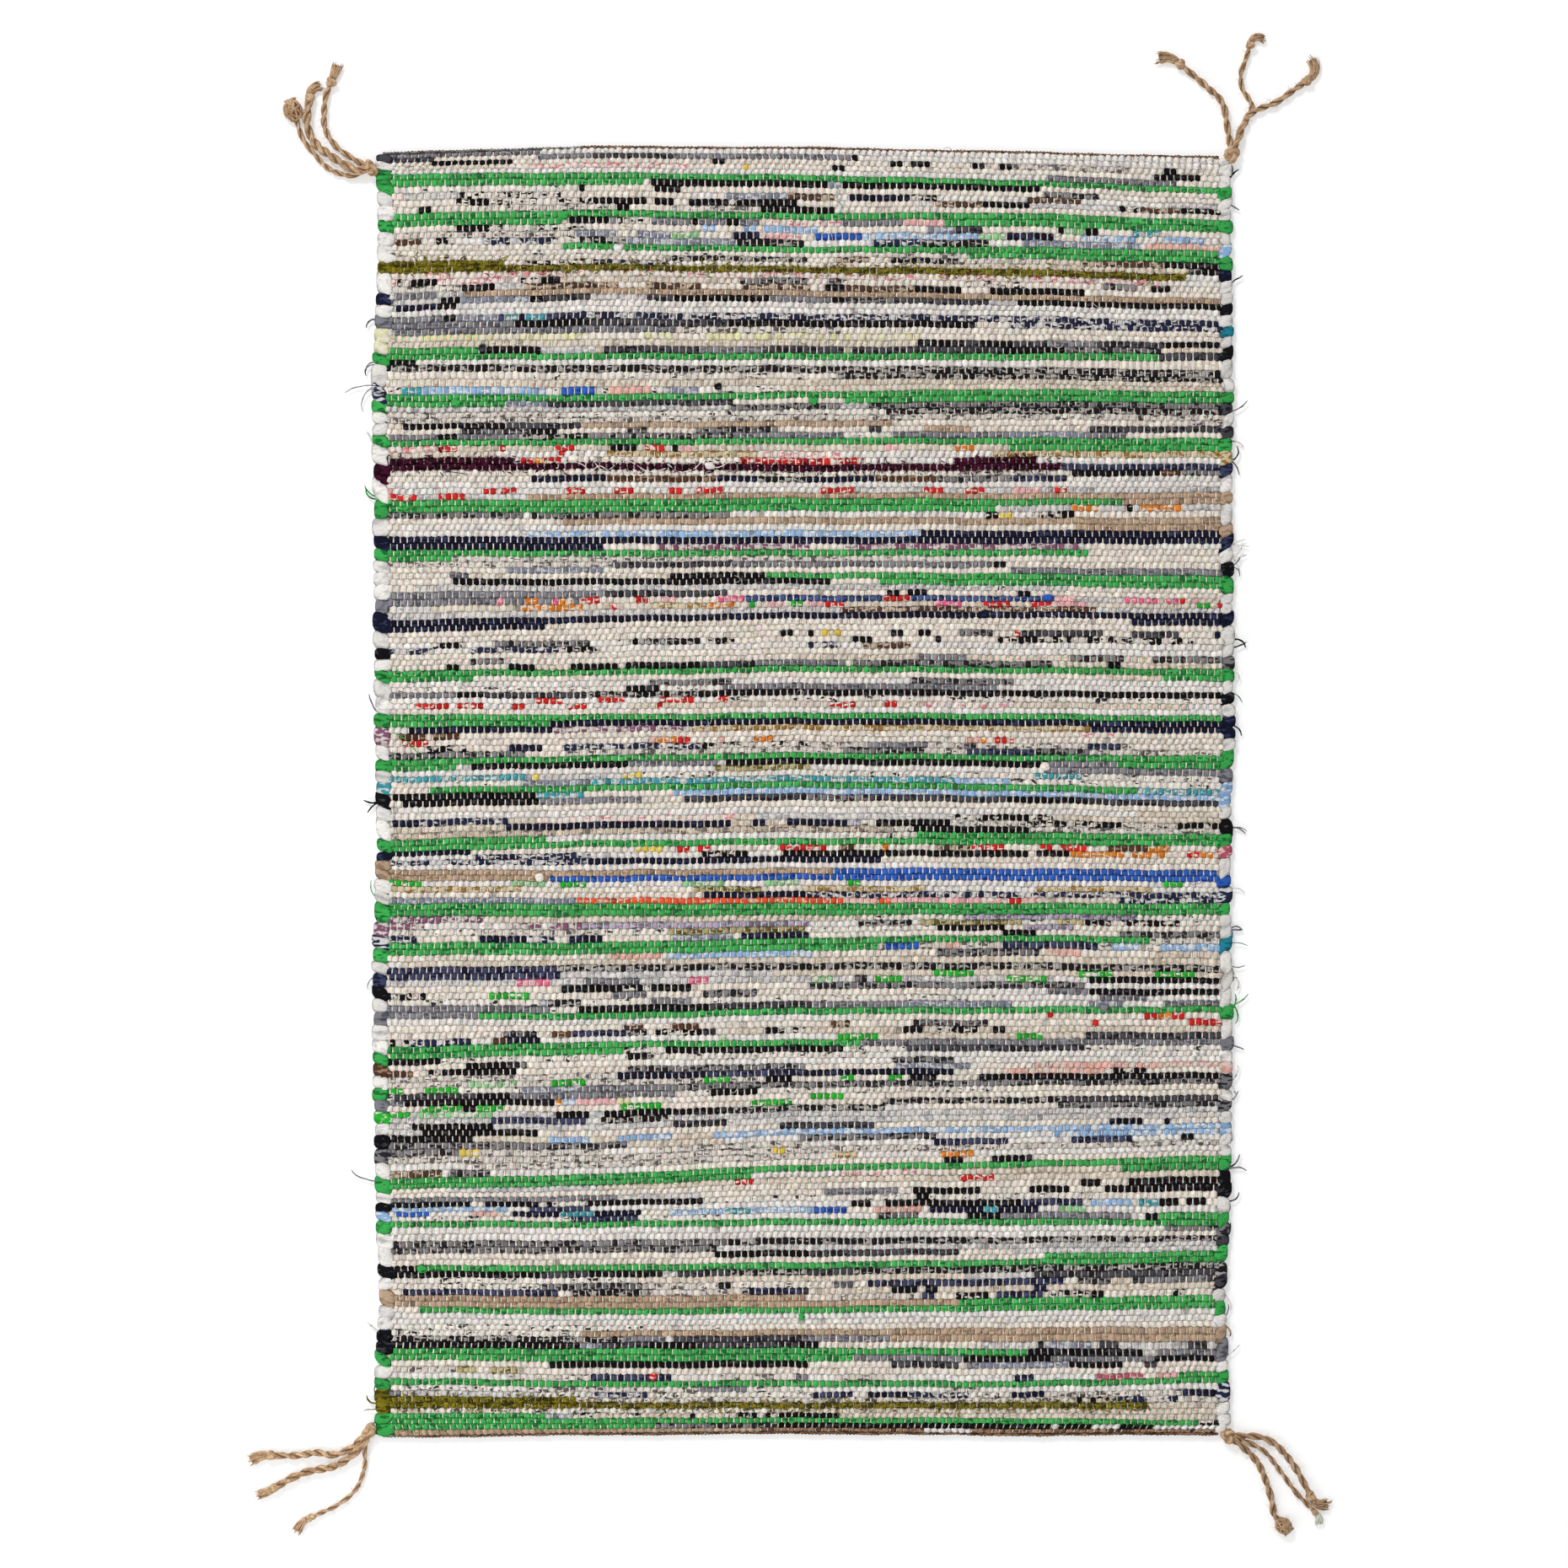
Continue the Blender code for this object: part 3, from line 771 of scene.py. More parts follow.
# What each hump gets from its rag, with a little of its own.
ragDye = {name: (linear(*dye), linear(*second), cover, plump, name in furry)
          for name, (dye, second, cover, plump) in rags.items()}
cellDye = np.ones((*cellRag.shape, 4))
cellSecond = np.ones((*cellRag.shape, 4))
cellPlump = np.zeros(cellRag.shape)
for name, (dye, second, cover, plump, fur) in ragDye.items():
    here = cellRag == name
    cellDye[here] = (*dye, fur)
    cellSecond[here] = (*second, cover)
    cellPlump[here] = plump
paleness = cellDye[..., :3].mean(-1, keepdims=True)
humpTone = rng.normal(0, 1, (*cellRag.shape, 1)) * (rug["tone"] - rug["paleTone"] * paleness)
humpTone = humpTone + rng.normal(0, rug["hue"], (*cellRag.shape, 3))
cellDye[..., :3] *= np.maximum(1 + humpTone, 0.55)
cellSecond[..., 3] *= rng.uniform(*rug["cover"], cellRag.shape)
cellPlump += rng.normal(0, rug["unevenHeight"], cellRag.shape)
odd = rng.uniform(0, 1, cellRag.shape) < rug["oddHumps"]
cellPlump[odd] += rng.choice(rug["oddHeights"], odd.sum())
cellSize = 1 + rng.normal(0, rug["unevenSize"], cellRag.shape)
cellSize = cellSize + rug["oddSize"] * np.where(odd, np.sign(cellPlump), 0)
print("rags laid:", len(np.unique(cellRag[1:-1].astype(str))), "cloths on", rug["pickCount"], "picks")

# How the rag passes a warp end. A point is named by its row, t on the top, b underneath or p on
# a hump's flat, by F for front or B for back, by L or R, and by + at the next warp end. Each
# face: its points, whether it is on the top, how many warp ends on its hump is, and whether it
# is warp.
passFaces = {
    "tick": [
        ("tFL tFR tBR tBL", 1, 0, 1),
        ("bFL pFL pFR bFR", 0, 0, 0),
        ("pFL pBL pBR pFR", 0, 0, 0),
        ("pBL bBL bBR pBR", 0, 0, 0),
    ],
    "hump": [
        ("tFL tFR pFR pFL", 1, 0, 0),
        ("pFL pFR pBR pBL", 1, 0, 0),
        ("pBL pBR tBR tBL", 1, 0, 0),
        ("bFL bBL bBR bFR", 0, 0, 1),
    ],
    "afterTick": [
        ("tFR tFL+ pFL+", 1, 1, 0),
        ("tFR pFL+ pBL+ tBR", 1, 1, 0),
        ("tBR pBL+ tBL+", 1, 1, 0),
        ("bFL+ bFR pFR", 0, 0, 0),
        ("bFL+ pFR pBR bBL+", 0, 0, 0),
        ("bBL+ pBR bBR", 0, 0, 0),
    ],
    "afterHump": [
        ("tFR tFL+ pFR", 1, 0, 0),
        ("pFR tFL+ tBL+ pBR", 1, 0, 0),
        ("pBR tBL+ tBR", 1, 0, 0),
        ("bFR pFL+ bFL+", 0, 1, 0),
        ("bFR bBR pBL+ pFL+", 0, 1, 0),
        ("bBR bBL+ pBL+", 0, 1, 0),
    ],
}
lineStray = rng.normal(0, 1, (rug["pickCount"] + 1, 2, warpEnds, 2, 2))


def linePoints(line, onTop):
    # The groove between pick number line and the next, as warp end, side and x, y, z. It bends
    # to and fro, because the humps of each pick push in between those of the next.
    beside = [weaveEnds(max(line, 1)), weaveEnds(min(line + 1, rug["pickCount"]))]
    ends = np.array(beside).sum(0) / 2
    step = (ends[1] - ends[0]) / (warpEnds - 1)
    end = np.arange(warpEnds)
    x = ends[0] + step * end[:, None] + np.array([-1, 1]) * rug["tickWidth"] * mm / 2
    y = (pickY(line, x) + pickY(line + 1, x)) / 2
    push = np.where((end + line) % 2 == 0, 1, -1) * (1 if onTop else -1) * rug["interlock"] * mm
    stray = lineStray[line, 0 if onTop else 1]
    y = y + push[:, None] + stray[..., 0] * rug["unevenPlace"] * mm * 0.7
    deep = stray[..., 1] * rug["unevenHeight"] * mm
    if onTop:
        z = rug["grooveHeight"] * mm + deep
    else:
        z = (rug["crestHeight"] - rug["grooveHeight"]) * mm + deep * 0.6
    return np.stack([x, y, z], -1)


def flatPoints(pick):
    # The four corners of each hump's flat: on the top at one warp end, underneath at the next.
    left, right = weaveEnds(pick)
    step = (right - left) / (warpEnds - 1)
    end = np.arange(warpEnds)
    onTop = (end + pick) % 2 == 1
    centre = left + step * end + rng.normal(0, rug["unevenPlace"] * mm, warpEnds)
    size = cellSize[pick, :warpEnds]
    half = rug["crestWidth"] * mm / 2 * np.clip(size, 0.6, 1.3)
    points = np.zeros((warpEnds, 2, 2, 3))
    points[..., 0] = (centre[:, None] + np.array([-1, 1]) * half[:, None])[..., None]
    points[..., 0] += rng.normal(0, rug["unevenWidth"] * mm, points.shape[:3])
    middle = pickY(pick, centre)
    back = (pickY(pick - 1, centre) + middle) / 2
    front = (pickY(pick + 1, centre) + middle) / 2
    shift = rng.normal(0, rug["unevenPlace"] * mm, warpEnds)
    tilt = rng.normal(0, rug["unevenTilt"] * mm, warpEnds)
    share = rug["crestShare"] * np.clip(size, 0.6, 1.25)
    lean = rug["slant"] * mm * ((1 if pick % 2 else -1) + 0.9 * np.sin(centre * 23 + pick * 0.6))
    points[:, :, 1, 0] += (lean + rng.normal(0, rug["unevenSlant"] * mm, warpEnds))[:, None]
    points[:, :, 0, 0] -= (lean + rng.normal(0, rug["unevenSlant"] * mm, warpEnds))[:, None]
    for side in (0, 1):
        for row, sign in ((0, -1), (1, 1)):
            points[:, side, row, 1] = ((front + back) / 2 + shift + (side * 2 - 1) * tilt
                                       + sign * (back - front) / 2 * share)
    plump = cellPlump[pick, :warpEnds, None, None] * mm
    stray = rng.normal(0, rug["unevenFlat"] * mm, (warpEnds, 2, 2))
    upper = rug["crestHeight"] * mm + plump + stray
    lower = np.maximum(rug["lowHeight"] * mm - plump * 0.5 + stray * 0.6, 0)
    points[..., 2] = np.where(onTop[:, None, None], upper, lower)
    return points


def addMesh(name, points, faces, materials):
    meshData = bpy.data.meshes.new(name)
    meshData.from_pydata(points, [], faces)
    thing = bpy.data.objects.new(name, meshData)
    bpy.context.collection.objects.link(thing)
    for material in materials:
        meshData.materials.append(material)
    meshData.shade_smooth()
    return thing


def dyeFaces(thing, dyes, seconds):
    # The dye and the second colour of the rag on each face.
    for name, values in (("dye", dyes), ("second", seconds)):
        layer = thing.data.attributes.new(name, "FLOAT_COLOR", "FACE")
        layer.data.foreach_set("color", np.asarray(values, dtype=np.float32).ravel())


# A band's unwrapped picture: its width in metres, and its steps for the two faces of a pick.
pictureWidth = 0.62
pickSteps = 8


def makeBand(index, picks, materials):
    # A band of picks as one closed piece: its top, its underside and the rim between them.
    count = len(picks)
    lines = [picks[0] - 1, *picks]
    top = np.array([linePoints(line, True) for line in lines])
    under = np.array([linePoints(line, False) for line in lines])
    flats = np.array([flatPoints(pick) for pick in picks])
    points = np.concatenate([top.reshape(-1, 3), under.reshape(-1, 3), flats.reshape(-1, 3)])
    lineSize = warpEnds * 2
    underStart = len(lines) * lineSize
    flatStart = 2 * underStart
    faces, dyes, seconds, isWarp, places, rows = [], [], [], [], [], []

    def corner(word, order, end):
        # The number of a named point, at the pick of this order and at these warp ends.
        end = end + word.endswith("+")
        right = word[2] == "R"
        if word[0] == "p":
            return flatStart + ((order * warpEnds + end) * 2 + right) * 2 + (word[1] == "B")
        line = order if word[1] == "B" else order + 1
        return line * lineSize + end * 2 + right + (underStart if word[0] == "b" else 0)

    for order, pick in enumerate(picks):
        for kind, parts in passFaces.items():
            after = kind.startswith("after")
            phase = 0 if kind.lower().endswith("tick") else 1
            end = np.arange((phase + pick) % 2, warpEnds - after, 2)
            for words, onTop, onward, ofWarp in parts:
                names = words.split()
                corners = np.stack([corner(word, order, end) for word in names], 1)
                faces += corners.tolist()
                dyes.append(cellDye[pick, end + onward])
                seconds.append(cellSecond[pick, end + onward])
                isWarp.append(np.full(len(end), ofWarp))
                places.append(points[corners, 0].ravel())
                level = [{"t": 0, "p": 1, "b": 0}[word[0]] for word in names]
                row = [3 - kept if word[1] == "B" else kept for kept, word in zip(level, names)]
                row = order * pickSteps + np.array(row) + (0 if onTop else pickSteps / 2) + 0.5
                rows.append(np.tile(row, len(end)))
        for end, side in ((0, "L"), (warpEnds - 1, "R")):
            isTick = (end + pick) % 2 == 0
            words = "tF tB bB pB pF bF" if isTick else "tF pF pB tB bB bF"
            loop = [int(corner(word + side, order, end)) for word in words.split()]
            faces.append(loop if side == "L" else loop[::-1])
            dyes.append(cellDye[pick, [end]])
            seconds.append(cellSecond[pick, [end]])
            isWarp.append([0])
            places.append(points[loop, 0])
            rows.append(np.full(len(loop), order * pickSteps + 7.5))
    for line, pick, turned in ((0, picks[0], True), (count, picks[-1], False)):
        at = np.arange(lineSize - 1) + line * lineSize
        loop = [at + underStart, at + 1 + underStart, at + 1, at]
        corners = np.stack(loop[::-1] if turned else loop, 1)
        faces += corners.tolist()
        end = np.minimum(np.arange(lineSize - 1) // 2, warpEnds - 1)
        dyes.append(cellDye[pick, end])
        seconds.append(cellSecond[pick, end])
        isWarp.append(np.zeros(len(end), int))
        places.append(points[corners, 0].ravel())
        rows.append(np.full(corners.size, (count * pickSteps - 0.2) if line else 0.2))
    band = addMesh(f"rag_picks_{index + 1}", points, faces, materials)
    dyeFaces(band, np.concatenate(dyes), np.concatenate(seconds))
    band.data.polygons.foreach_set("material_index", np.concatenate(isWarp).astype(np.int32))
    layer = band.data.uv_layers.new(name="OFBake")
    u = np.concatenate(places) / pictureWidth + 0.5
    v = np.concatenate(rows) / (pickSteps * count)
    layer.data.foreach_set("uv", np.stack([u, v], 1).ravel())
    return band


# Cloth finishes, and the shade painted into the grooves.
finishAndShade = {
    "blotch": 300.0,         # how many blotches of a print lie on a metre
    "coverReach": 0.36,
    "edgeSharp": 16.0,       # how crisp a blotch's edge is
    "fold": 620.0,
    "foldDepth": 0.50,
    "fibre": 1700.0,
    "fibreDepth": 0.50,
    "fur": 2600.0,
    "furDepth": 2.2,
    # Painted shade: how dark the colour is made near the middle plane, and the mm from that plane over
    # which it fades out.
    "grooveShade": 0.34,
    "grooveReach": (1.0, 2.25),
    "warpColour": (250, 240, 222),
    "warpPink": (242, 214, 198),
    "warpTwist": 1900.0,
    "warpPatch": 420.0,
}


def makeRagCloth():
    material, tree, shader, place = newMaterial("cotton rags")
    dye = marked(tree, "dye", "Color")
    fur = marked(tree, "dye", "Alpha")
    second = marked(tree, "second", "Color")
    cover = marked(tree, "second", "Alpha")
    along = stretched(tree, place, (0.62, 1.6, 1.0), (0, 0, 0.12))
    blotch = grain(tree, along, finishAndShade["blotch"], 1.0, 0.4)
    edge = (blotch + (cover - 0.5) * finishAndShade["coverReach"] - 0.5) * finishAndShade["edgeSharp"] + 0.5
    colour = blend(tree, edge.held(), dye, second)
    fibre = grain(tree, place, finishAndShade["fibre"], 2.0, 0.6)
    fold = grain(tree, along, finishAndShade["fold"], 1.0)
    tone = (fibre - 0.5) * finishAndShade["fibreDepth"] + (fold - 0.5) * finishAndShade["foldDepth"] + 1
    pile = (grain(tree, place, finishAndShade["fur"], 1.0) - 0.5) * finishAndShade["furDepth"] * fur + 1
    # The cloth's colour, with the painted groove shade laid over it.
    colour = tinted(tree, colour, tone * grooveShade(tree, place) * pile)
    dress(tree, shader, colour, fibre * 0.2 + 0.78, 0.8, 0.9 * mm, fold * 0.9 + fibre * 0.35)
    return material


def makeWarpCotton():
    material, tree, shader, place = newMaterial("warp cotton")
    twist = grain(tree, stretched(tree, place, (1.0, 0.25, 1.0)), finishAndShade["warpTwist"], 2.0)
    slow = grain(tree, place, 70.0, 1.0)
    tone = (twist - 0.5) * 0.6 + (slow - 0.5) * 0.4 + 1
    patch = ((grain(tree, place, finishAndShade["warpPatch"], 1.0) - 0.5) * 3 + 0.4).held()
    base = blend(tree, patch, *[(*linear(*finishAndShade[name]), 1) for name in ("warpColour", "warpPink")])
    dress(tree, shader, tinted(tree, base, tone), twist * 0.15 + 0.8, 0.4, 0.4 * mm, twist)
    return material


ragCloth = makeRagCloth()
warpCotton = makeWarpCotton()
rugPieces = []
edges = np.linspace(1, rug["pickCount"] + 1, rug["bands"] + 1).round().astype(int)
for index in range(rug["bands"]):
    band = makeBand(index, list(range(edges[index], edges[index + 1])), [ragCloth, warpCotton])
    rugPieces.append(band)
print("weave made:", sum(len(band.data.polygons) for band in rugPieces), "faces")

# The warp.
warp = {
    "wide": 0.6,
    "across": 20,            # its squares
    "along": 30,
    "thick": 0.9,
    "height": 2.5,
    "short": 5.0,            # how far it ends inside the rug's sides
}


def makeWarp(material):
    # The warp as one sheet between the humps of the two faces. It holds the picks together.
    bpy.ops.object.select_all(action="DESELECT")
    bpy.ops.mesh.primitive_grid_add(x_subdivisions=warp["across"], y_subdivisions=warp["along"],
                                    size=1.0, location=(0, 0, 0))
    sheet = bpy.context.object
    sheet.name = sheet.data.name = "warp"
    for vertex in sheet.data.vertices:
        share = 0.5 - vertex.co.y
        across = vertex.co.x + 0.5
        number = 0.5 + share * rug["pickCount"]
        rows = [np.interp(number, pickNumbers, rowY[:, at]) for at in range(len(rowPlaces))]
        guess = -warp["wide"] / 2 + warp["wide"] * across
        y = float(np.interp(guess, rowX, rows))
        left = -sideAt(y, -1) + warp["short"] * mm
        right = sideAt(y, 1) - warp["short"] * mm
        x = left + (right - left) * across
        vertex.co = (x, float(np.interp(x, rowX, rows)), warp["height"] * mm)
    walls = sheet.modifiers.new("thickness", "SOLIDIFY")
    walls.thickness = warp["thick"] * mm
    walls.offset = 0
    bpy.ops.object.modifier_apply(modifier=walls.name)
    sheet.data.materials.append(material)
    return sheet


warpSheet = makeWarp(warpCotton)
print("warp sheet made")


# Tubes.
def smoothWay(points, step):
    # Points at even steps along a smooth curve through the given ones.
    points = [np.array(point, dtype=float) for point in points]
    padded = [points[0] * 2 - points[1]] + points + [points[-1] * 2 - points[-2]]
    fine = []
    parts = 12
    for before, start, end, after in zip(padded, padded[1:], padded[2:], padded[3:]):
        for part in range(parts):
            t = part / parts
            fine.append(0.5 * (2 * start + (end - before) * t
                               + (2 * before - 5 * start + 4 * end - after) * t * t
                               + (3 * start - before - 3 * end + after) * t ** 3))
    fine.append(points[-1])
    fine = np.array(fine)
    lengths = np.linalg.norm(np.diff(fine, axis=0), axis=1)
    reach = np.concatenate([[0], np.cumsum(lengths)])
    count = max(3, round(reach[-1] / step))
    at = np.linspace(0, reach[-1], count + 1)
    return np.stack([np.interp(at, reach, fine[:, axis]) for axis in range(3)], 1)


def headings(way, closed=False):
    # The unit direction, the level side and the upward side at each point of a way.
    if closed:
        ahead = np.roll(way, -1, 0) - np.roll(way, 1, 0)
    else:
        ahead = np.gradient(way, axis=0)
    ahead /= np.linalg.norm(ahead, axis=1)[:, None] + 1e-12
    side = np.cross([0, 0, 1.0], ahead)
    flat = np.linalg.norm(side, axis=1) < 1e-3
    side[flat] = [1, 0, 0]
    side /= np.linalg.norm(side, axis=1)[:, None]
    up = np.cross(ahead, side)
    return ahead, side, up


class Heap:
    # Points and faces gathered for one joined piece, with each tube's place for its pattern.
    def __init__(self):
        self.points = []
        self.faces = []
        self.tags = []
        self.flow = []
        self.count = 0
        self.strand = 0
        self.tint = 1.0

    def tube(self, way, wide, high, sides=6, closed=False, turn=0.0, tag=None, axis=None, reach=1):
        # A closed tube round a way. Its half sizes may change along it. The flow tells a shader
        # where round and along the tube it is, and how far out from the axis of a whole cord.
        ahead, side, up = headings(way, closed)
        count = len(way)
        wide = np.broadcast_to(wide, count)
        high = np.broadcast_to(high, count)
        angles = np.arange(sides) / sides * 2 * math.pi + turn
        ring = (side[:, None] * (np.cos(angles)[None, :, None] * wide[:, None, None])
                + up[:, None] * (np.sin(angles)[None, :, None] * high[:, None, None]))
        points = way[:, None] + ring
        self.points.append(points.reshape(-1, 3))
        run = np.concatenate([[0], np.cumsum(np.linalg.norm(np.diff(way, axis=0), axis=1))])
        flow = np.full((count, sides, 4), self.tint)
        flow[..., 0] = np.cos(angles) * wide[:, None]
        flow[..., 1] = np.sin(angles) * high[:, None]
        flow[..., 2] = run[:, None] * 0.1 + self.strand * 0.013
        # How far out from a whole cord's axis; the jute paints shade where this is small.
        if axis is not None:
            out = np.linalg.norm(points - axis[:, None], axis=-1) / reach
            flow[..., 3] = np.clip(out, 0, 1) * self.tint
        self.flow.append(flow.reshape(-1, 4))
        first = self.count
        last = count if closed else count - 1
        for row in range(last):
            following = (row + 1) % count
            for corner in range(sides):
                beside = (corner + 1) % sides
                self.faces.append((first + row * sides + corner, first + row * sides + beside,
                                   first + following * sides + beside,
                                   first + following * sides + corner))
                self.tags.append(tag)
        if not closed:
            self.faces.append(tuple(first + corner for corner in reversed(range(sides))))
            self.faces.append(tuple(first + (count - 1) * sides + corner for corner in range(sides)))
            self.tags += [tag, tag]
        self.count += count * sides
        self.strand += 1

    def shape(self, points, faces, tag=None):
        self.points.append(points)
        self.faces += [tuple(self.count + corner for corner in face) for face in faces]
        self.tags += [tag] * len(faces)
        self.count += len(points)

    def build(self, name, materials):
        return addMesh(name, np.concatenate(self.points), self.faces, materials)


def ragTag(name, tone=1.0):
    dye, second, cover, plump, fur = ragDye[name]
    return (*(dye * tone), fur), (*second, cover)


def dyeTags(thing, heap):
    dyeFaces(thing, [tag[0] for tag in heap.tags], [tag[1] for tag in heap.tags])


# The sides.
turns = {
    "around": 12,
    "rings": 8,
    "square": 0.66,          # below 1 the ball that a turn starts from is squared off
    "threes": 0.18,          # how many turns take in three picks, where the others take two
    "middle": 2.5,           # mm, heights from the floor
    "high": 2.75,
    "flat": 5.05,
    "top": 5.6,
    "overlap": 1.22,
    "uneven": 0.5,
    "crease": 1.05,
    "slant": 0.2,
    "unevenSlant": 0.22,
    "leftTone": 0.97,
    "rightTone": 0.91,
    "unevenTone": 0.06,
}

# Turns at the sides with a colour of their own: rag, first and last row in the photograph.
leftTurns = readChart("""
dark 182 196   green 203 222   green 254 268   olive 308 330   navy 353 366   lemon 395 415
green 415 430   dark 431 443   navyPrint 456 469   green 470 483   black 497 509   green 514 530
pink 532 542   purple 543 563   green 592 606   navy 638 657   green 657 666   navy 735 753
black 764 779   green 794 808   green 845 860   mauve 862 880   green 898 912   teal 930 945
navyPrint 967 979   green 996 1010   navy 1011 1024   tan 1025 1042   white 1043 1062   green 1066 1088
mauve 1090 1105   green 1119 1134   black 1171 1186   green 1243 1257   brown 1260 1280
green 1292 1304   black 1343 1356   green 1399 1412   sky 1436 1444   green 1447 1460
greyMarl 1473 1488   black 1502 1516   tan 1538 1553   black 1582 1598   green 1599 1612
green 1634 1644   olive 1654 1679   green 1684 1698
""", 2)
rightTurns = readChart("""
green 221 235   green 259 272   sky 285 300   green 301 314   navy 317 332   deepTeal 384 398
black 413 430   green 465 480   dark 483 496   green 521 535   tan 585 598   tan 617 633   navy 635 646
white 647 674   black 675 686   green 687 699   pink 711 728   navy 729 741   white 742 756
black 757 769   white 770 786   green 795 808   navy 853 873   green 890 902   grey 903 920
sky 935 950   black 976 989   green 990 1003   dustyRose 1004 1015   blue 1030 1050   green 1072 1088
deepTeal 1117 1130   white 1131 1166   black 1167 1180   green 1190 1205   sky 1330 1343
green 1368 1382   black 1393 1407   green 1443 1456   dark 1464 1476   green 1488 1501   green 1544 1560
tan 1572 1590   green 1630 1643   navyPrint 1647 1660   white 1661 1698
""", 2)


# Rags that turn their plain white side out at the rug's edge.
paleTurns = ("cream", "ecru", "flecked", "fineLine", "print", "dash", "sparse", "softGrey", "pinkFleck",
             "pink")


def turnRag(row, table, woven):
    # The rag of a turn: from its side's chart, or else the one woven in the pick beside it.
    named = [name for name, first, last in table if first <= row <= last]
    rag = named[0] if named else woven
    return "white" if rag in paleTurns else rag


def makeLump():
    # A lump of rag, modelled once for all turns and knots: a ball that is squared off.
    bpy.ops.object.select_all(action="DESELECT")
    bpy.ops.mesh.primitive_uv_sphere_add(segments=turns["around"], ring_count=turns["rings"],
                                         radius=1.0, location=(0, 0, 0), rotation=(0, math.pi / 2, 0))
    ball = bpy.context.object
    bpy.ops.object.transform_apply(location=True, rotation=True, scale=True)
    points = np.array([vertex.co[:] for vertex in ball.data.vertices])
    # Sorted, because Blender lists a new ball's faces in another order from run to run.
    faces = sorted(tuple(face.vertices) for face in ball.data.polygons)
    bpy.data.objects.remove(ball)
    return np.sign(points) * np.abs(points) ** turns["square"], faces


def makeTurns(name, sign, table, inset, lightness, material):
    # At each side the rag turns from one pick into the next, round the outermost warp.
    heap = Heap()
    ball, faces = makeLump()
    end = 0 if sign < 0 else -1
    pick = 1 if sign < 0 else 0
    while pick <= rug["pickCount"]:
        first = max(pick, 1)
        picks = int(rng.choice([2, 3], p=[1 - turns["threes"], turns["threes"]]))
        last = min(pick + picks - 1, rug["pickCount"])
        upper = (rowY[first - 1, end] + rowY[first, end]) / 2
        lower = (rowY[last, end] + rowY[last + 1, end]) / 2
        centre = (upper + lower) / 2
        edge = sign * sideAt(centre, sign)
        outer = edge + sign * rng.normal(0, turns["uneven"]) * mm
        inner = edge - sign * (inset + rng.uniform(-0.5, 1.5)) * mm
        halfLong = abs(outer - inner) / 2
        halfWide = (upper - lower) / 2 * turns["overlap"] * (1 + rng.normal(0, 0.05))
        waves = rng.uniform(0, 6, 3)
        fold = 1 + 0.06 * np.sin(ball[:, 0] * 3 + waves[0])
        bend = sign * turns["slant"] + rng.normal(0, turns["unevenSlant"])
        slope = ball[:, 1] * rng.uniform(2.5, 5) + ball[:, 0] * rng.uniform(-3, 3) + waves[1]
        crease = (np.sin(slope) - 0.5 * np.cos(slope * 2.3 + waves[2])) * turns["crease"] * mm
        sag = rng.uniform(-0.35, 0.15) * mm
        high = np.minimum((turns["middle"] + ball[:, 2] * turns["high"]) * mm, turns["flat"] * mm + sag)
        high = np.where(ball[:, 2] > 0.3, high + crease * (ball[:, 2] - 0.3), high)
        lump = np.stack([
            (outer + inner) / 2 + ball[:, 0] * halfLong,
            centre + (ball[:, 1] * fold + ball[:, 0] * bend) * halfWide,
            np.clip(high, 0.02 * mm, turns["top"] * mm),
        ], 1)
        row = photo["middleY"] - centre * photo["perMetre"]
        woven = str(cellRag[(first + last) // 2, 0 if sign < 0 else warpEnds - 1])
        tone = lightness + rng.normal(0, turns["unevenTone"])
        heap.shape(lump, faces, tag=ragTag(turnRag(row, table, woven), tone))
        pick = last + 1
    thing = heap.build(name, [material])
    dyeTags(thing, heap)
    return thing


for side, sign, table in (("left", -1, leftTurns), ("right", 1, rightTurns)):
    rugPieces.append(makeTurns("turned_rags_" + side, sign, table, rug[side + "Turn"],
                               turns[side + "Tone"], ragCloth))
print("side turns made")

# Loose threads, pile, strip knots and ends of rag.
loose = {
    "pile": 3,               # fibres on each hump of a furry rag
    "pileThick": 0.42,
    "pileSpread": (1.0, 2.2),
    "pileHeight": (4.8, 5.5),
    "pileLength": (2.4, 4.8),
    "pileTone": (0.55, 1.7),
    "curls": 360,
    "curlThick": 0.17,
    "curlHeight": (5.1, 5.5),
    "curlLength": (5, 13),
    "curlRags": {"white": 0.5, "cream": 0.2, "grey": 0.2, "dark": 0.1},
    "curlStrays": 0.35,      # how many curls over the darker rags came from another one
    "knotHeight": 5.1,
    "endThick": 0.58,
    "endRoot": 2.5,          # how deep a stray end is held in the side
    "endHeight": (3.0, 2.2),
    "endTone": 0.9,
    "crossHeight": 5.5,
    "crossThick": 0.3,
    "light": 1.15,
}

# Where strips were knotted together: rag, place in the photograph and size in mm.
stripKnots = readChart("""
green 668 257 5.6   green 540 479 5.0   green 965 475 5.2   green 1165 473 4.6   green 500 1505 5.2
white 733 295 5.0   cream 680 545 5.4   cream 640 1040 5.0   cream 1240 910 5.2   grey 1310 1195 5.0
red 775 1632 4.4   navy 1168 728 5.2   blue 1243 709 4.8   dark 572 413 4.2   black 852 459 4.2
white 842 553 5.0   green 951 1562 3.8
""", 3)

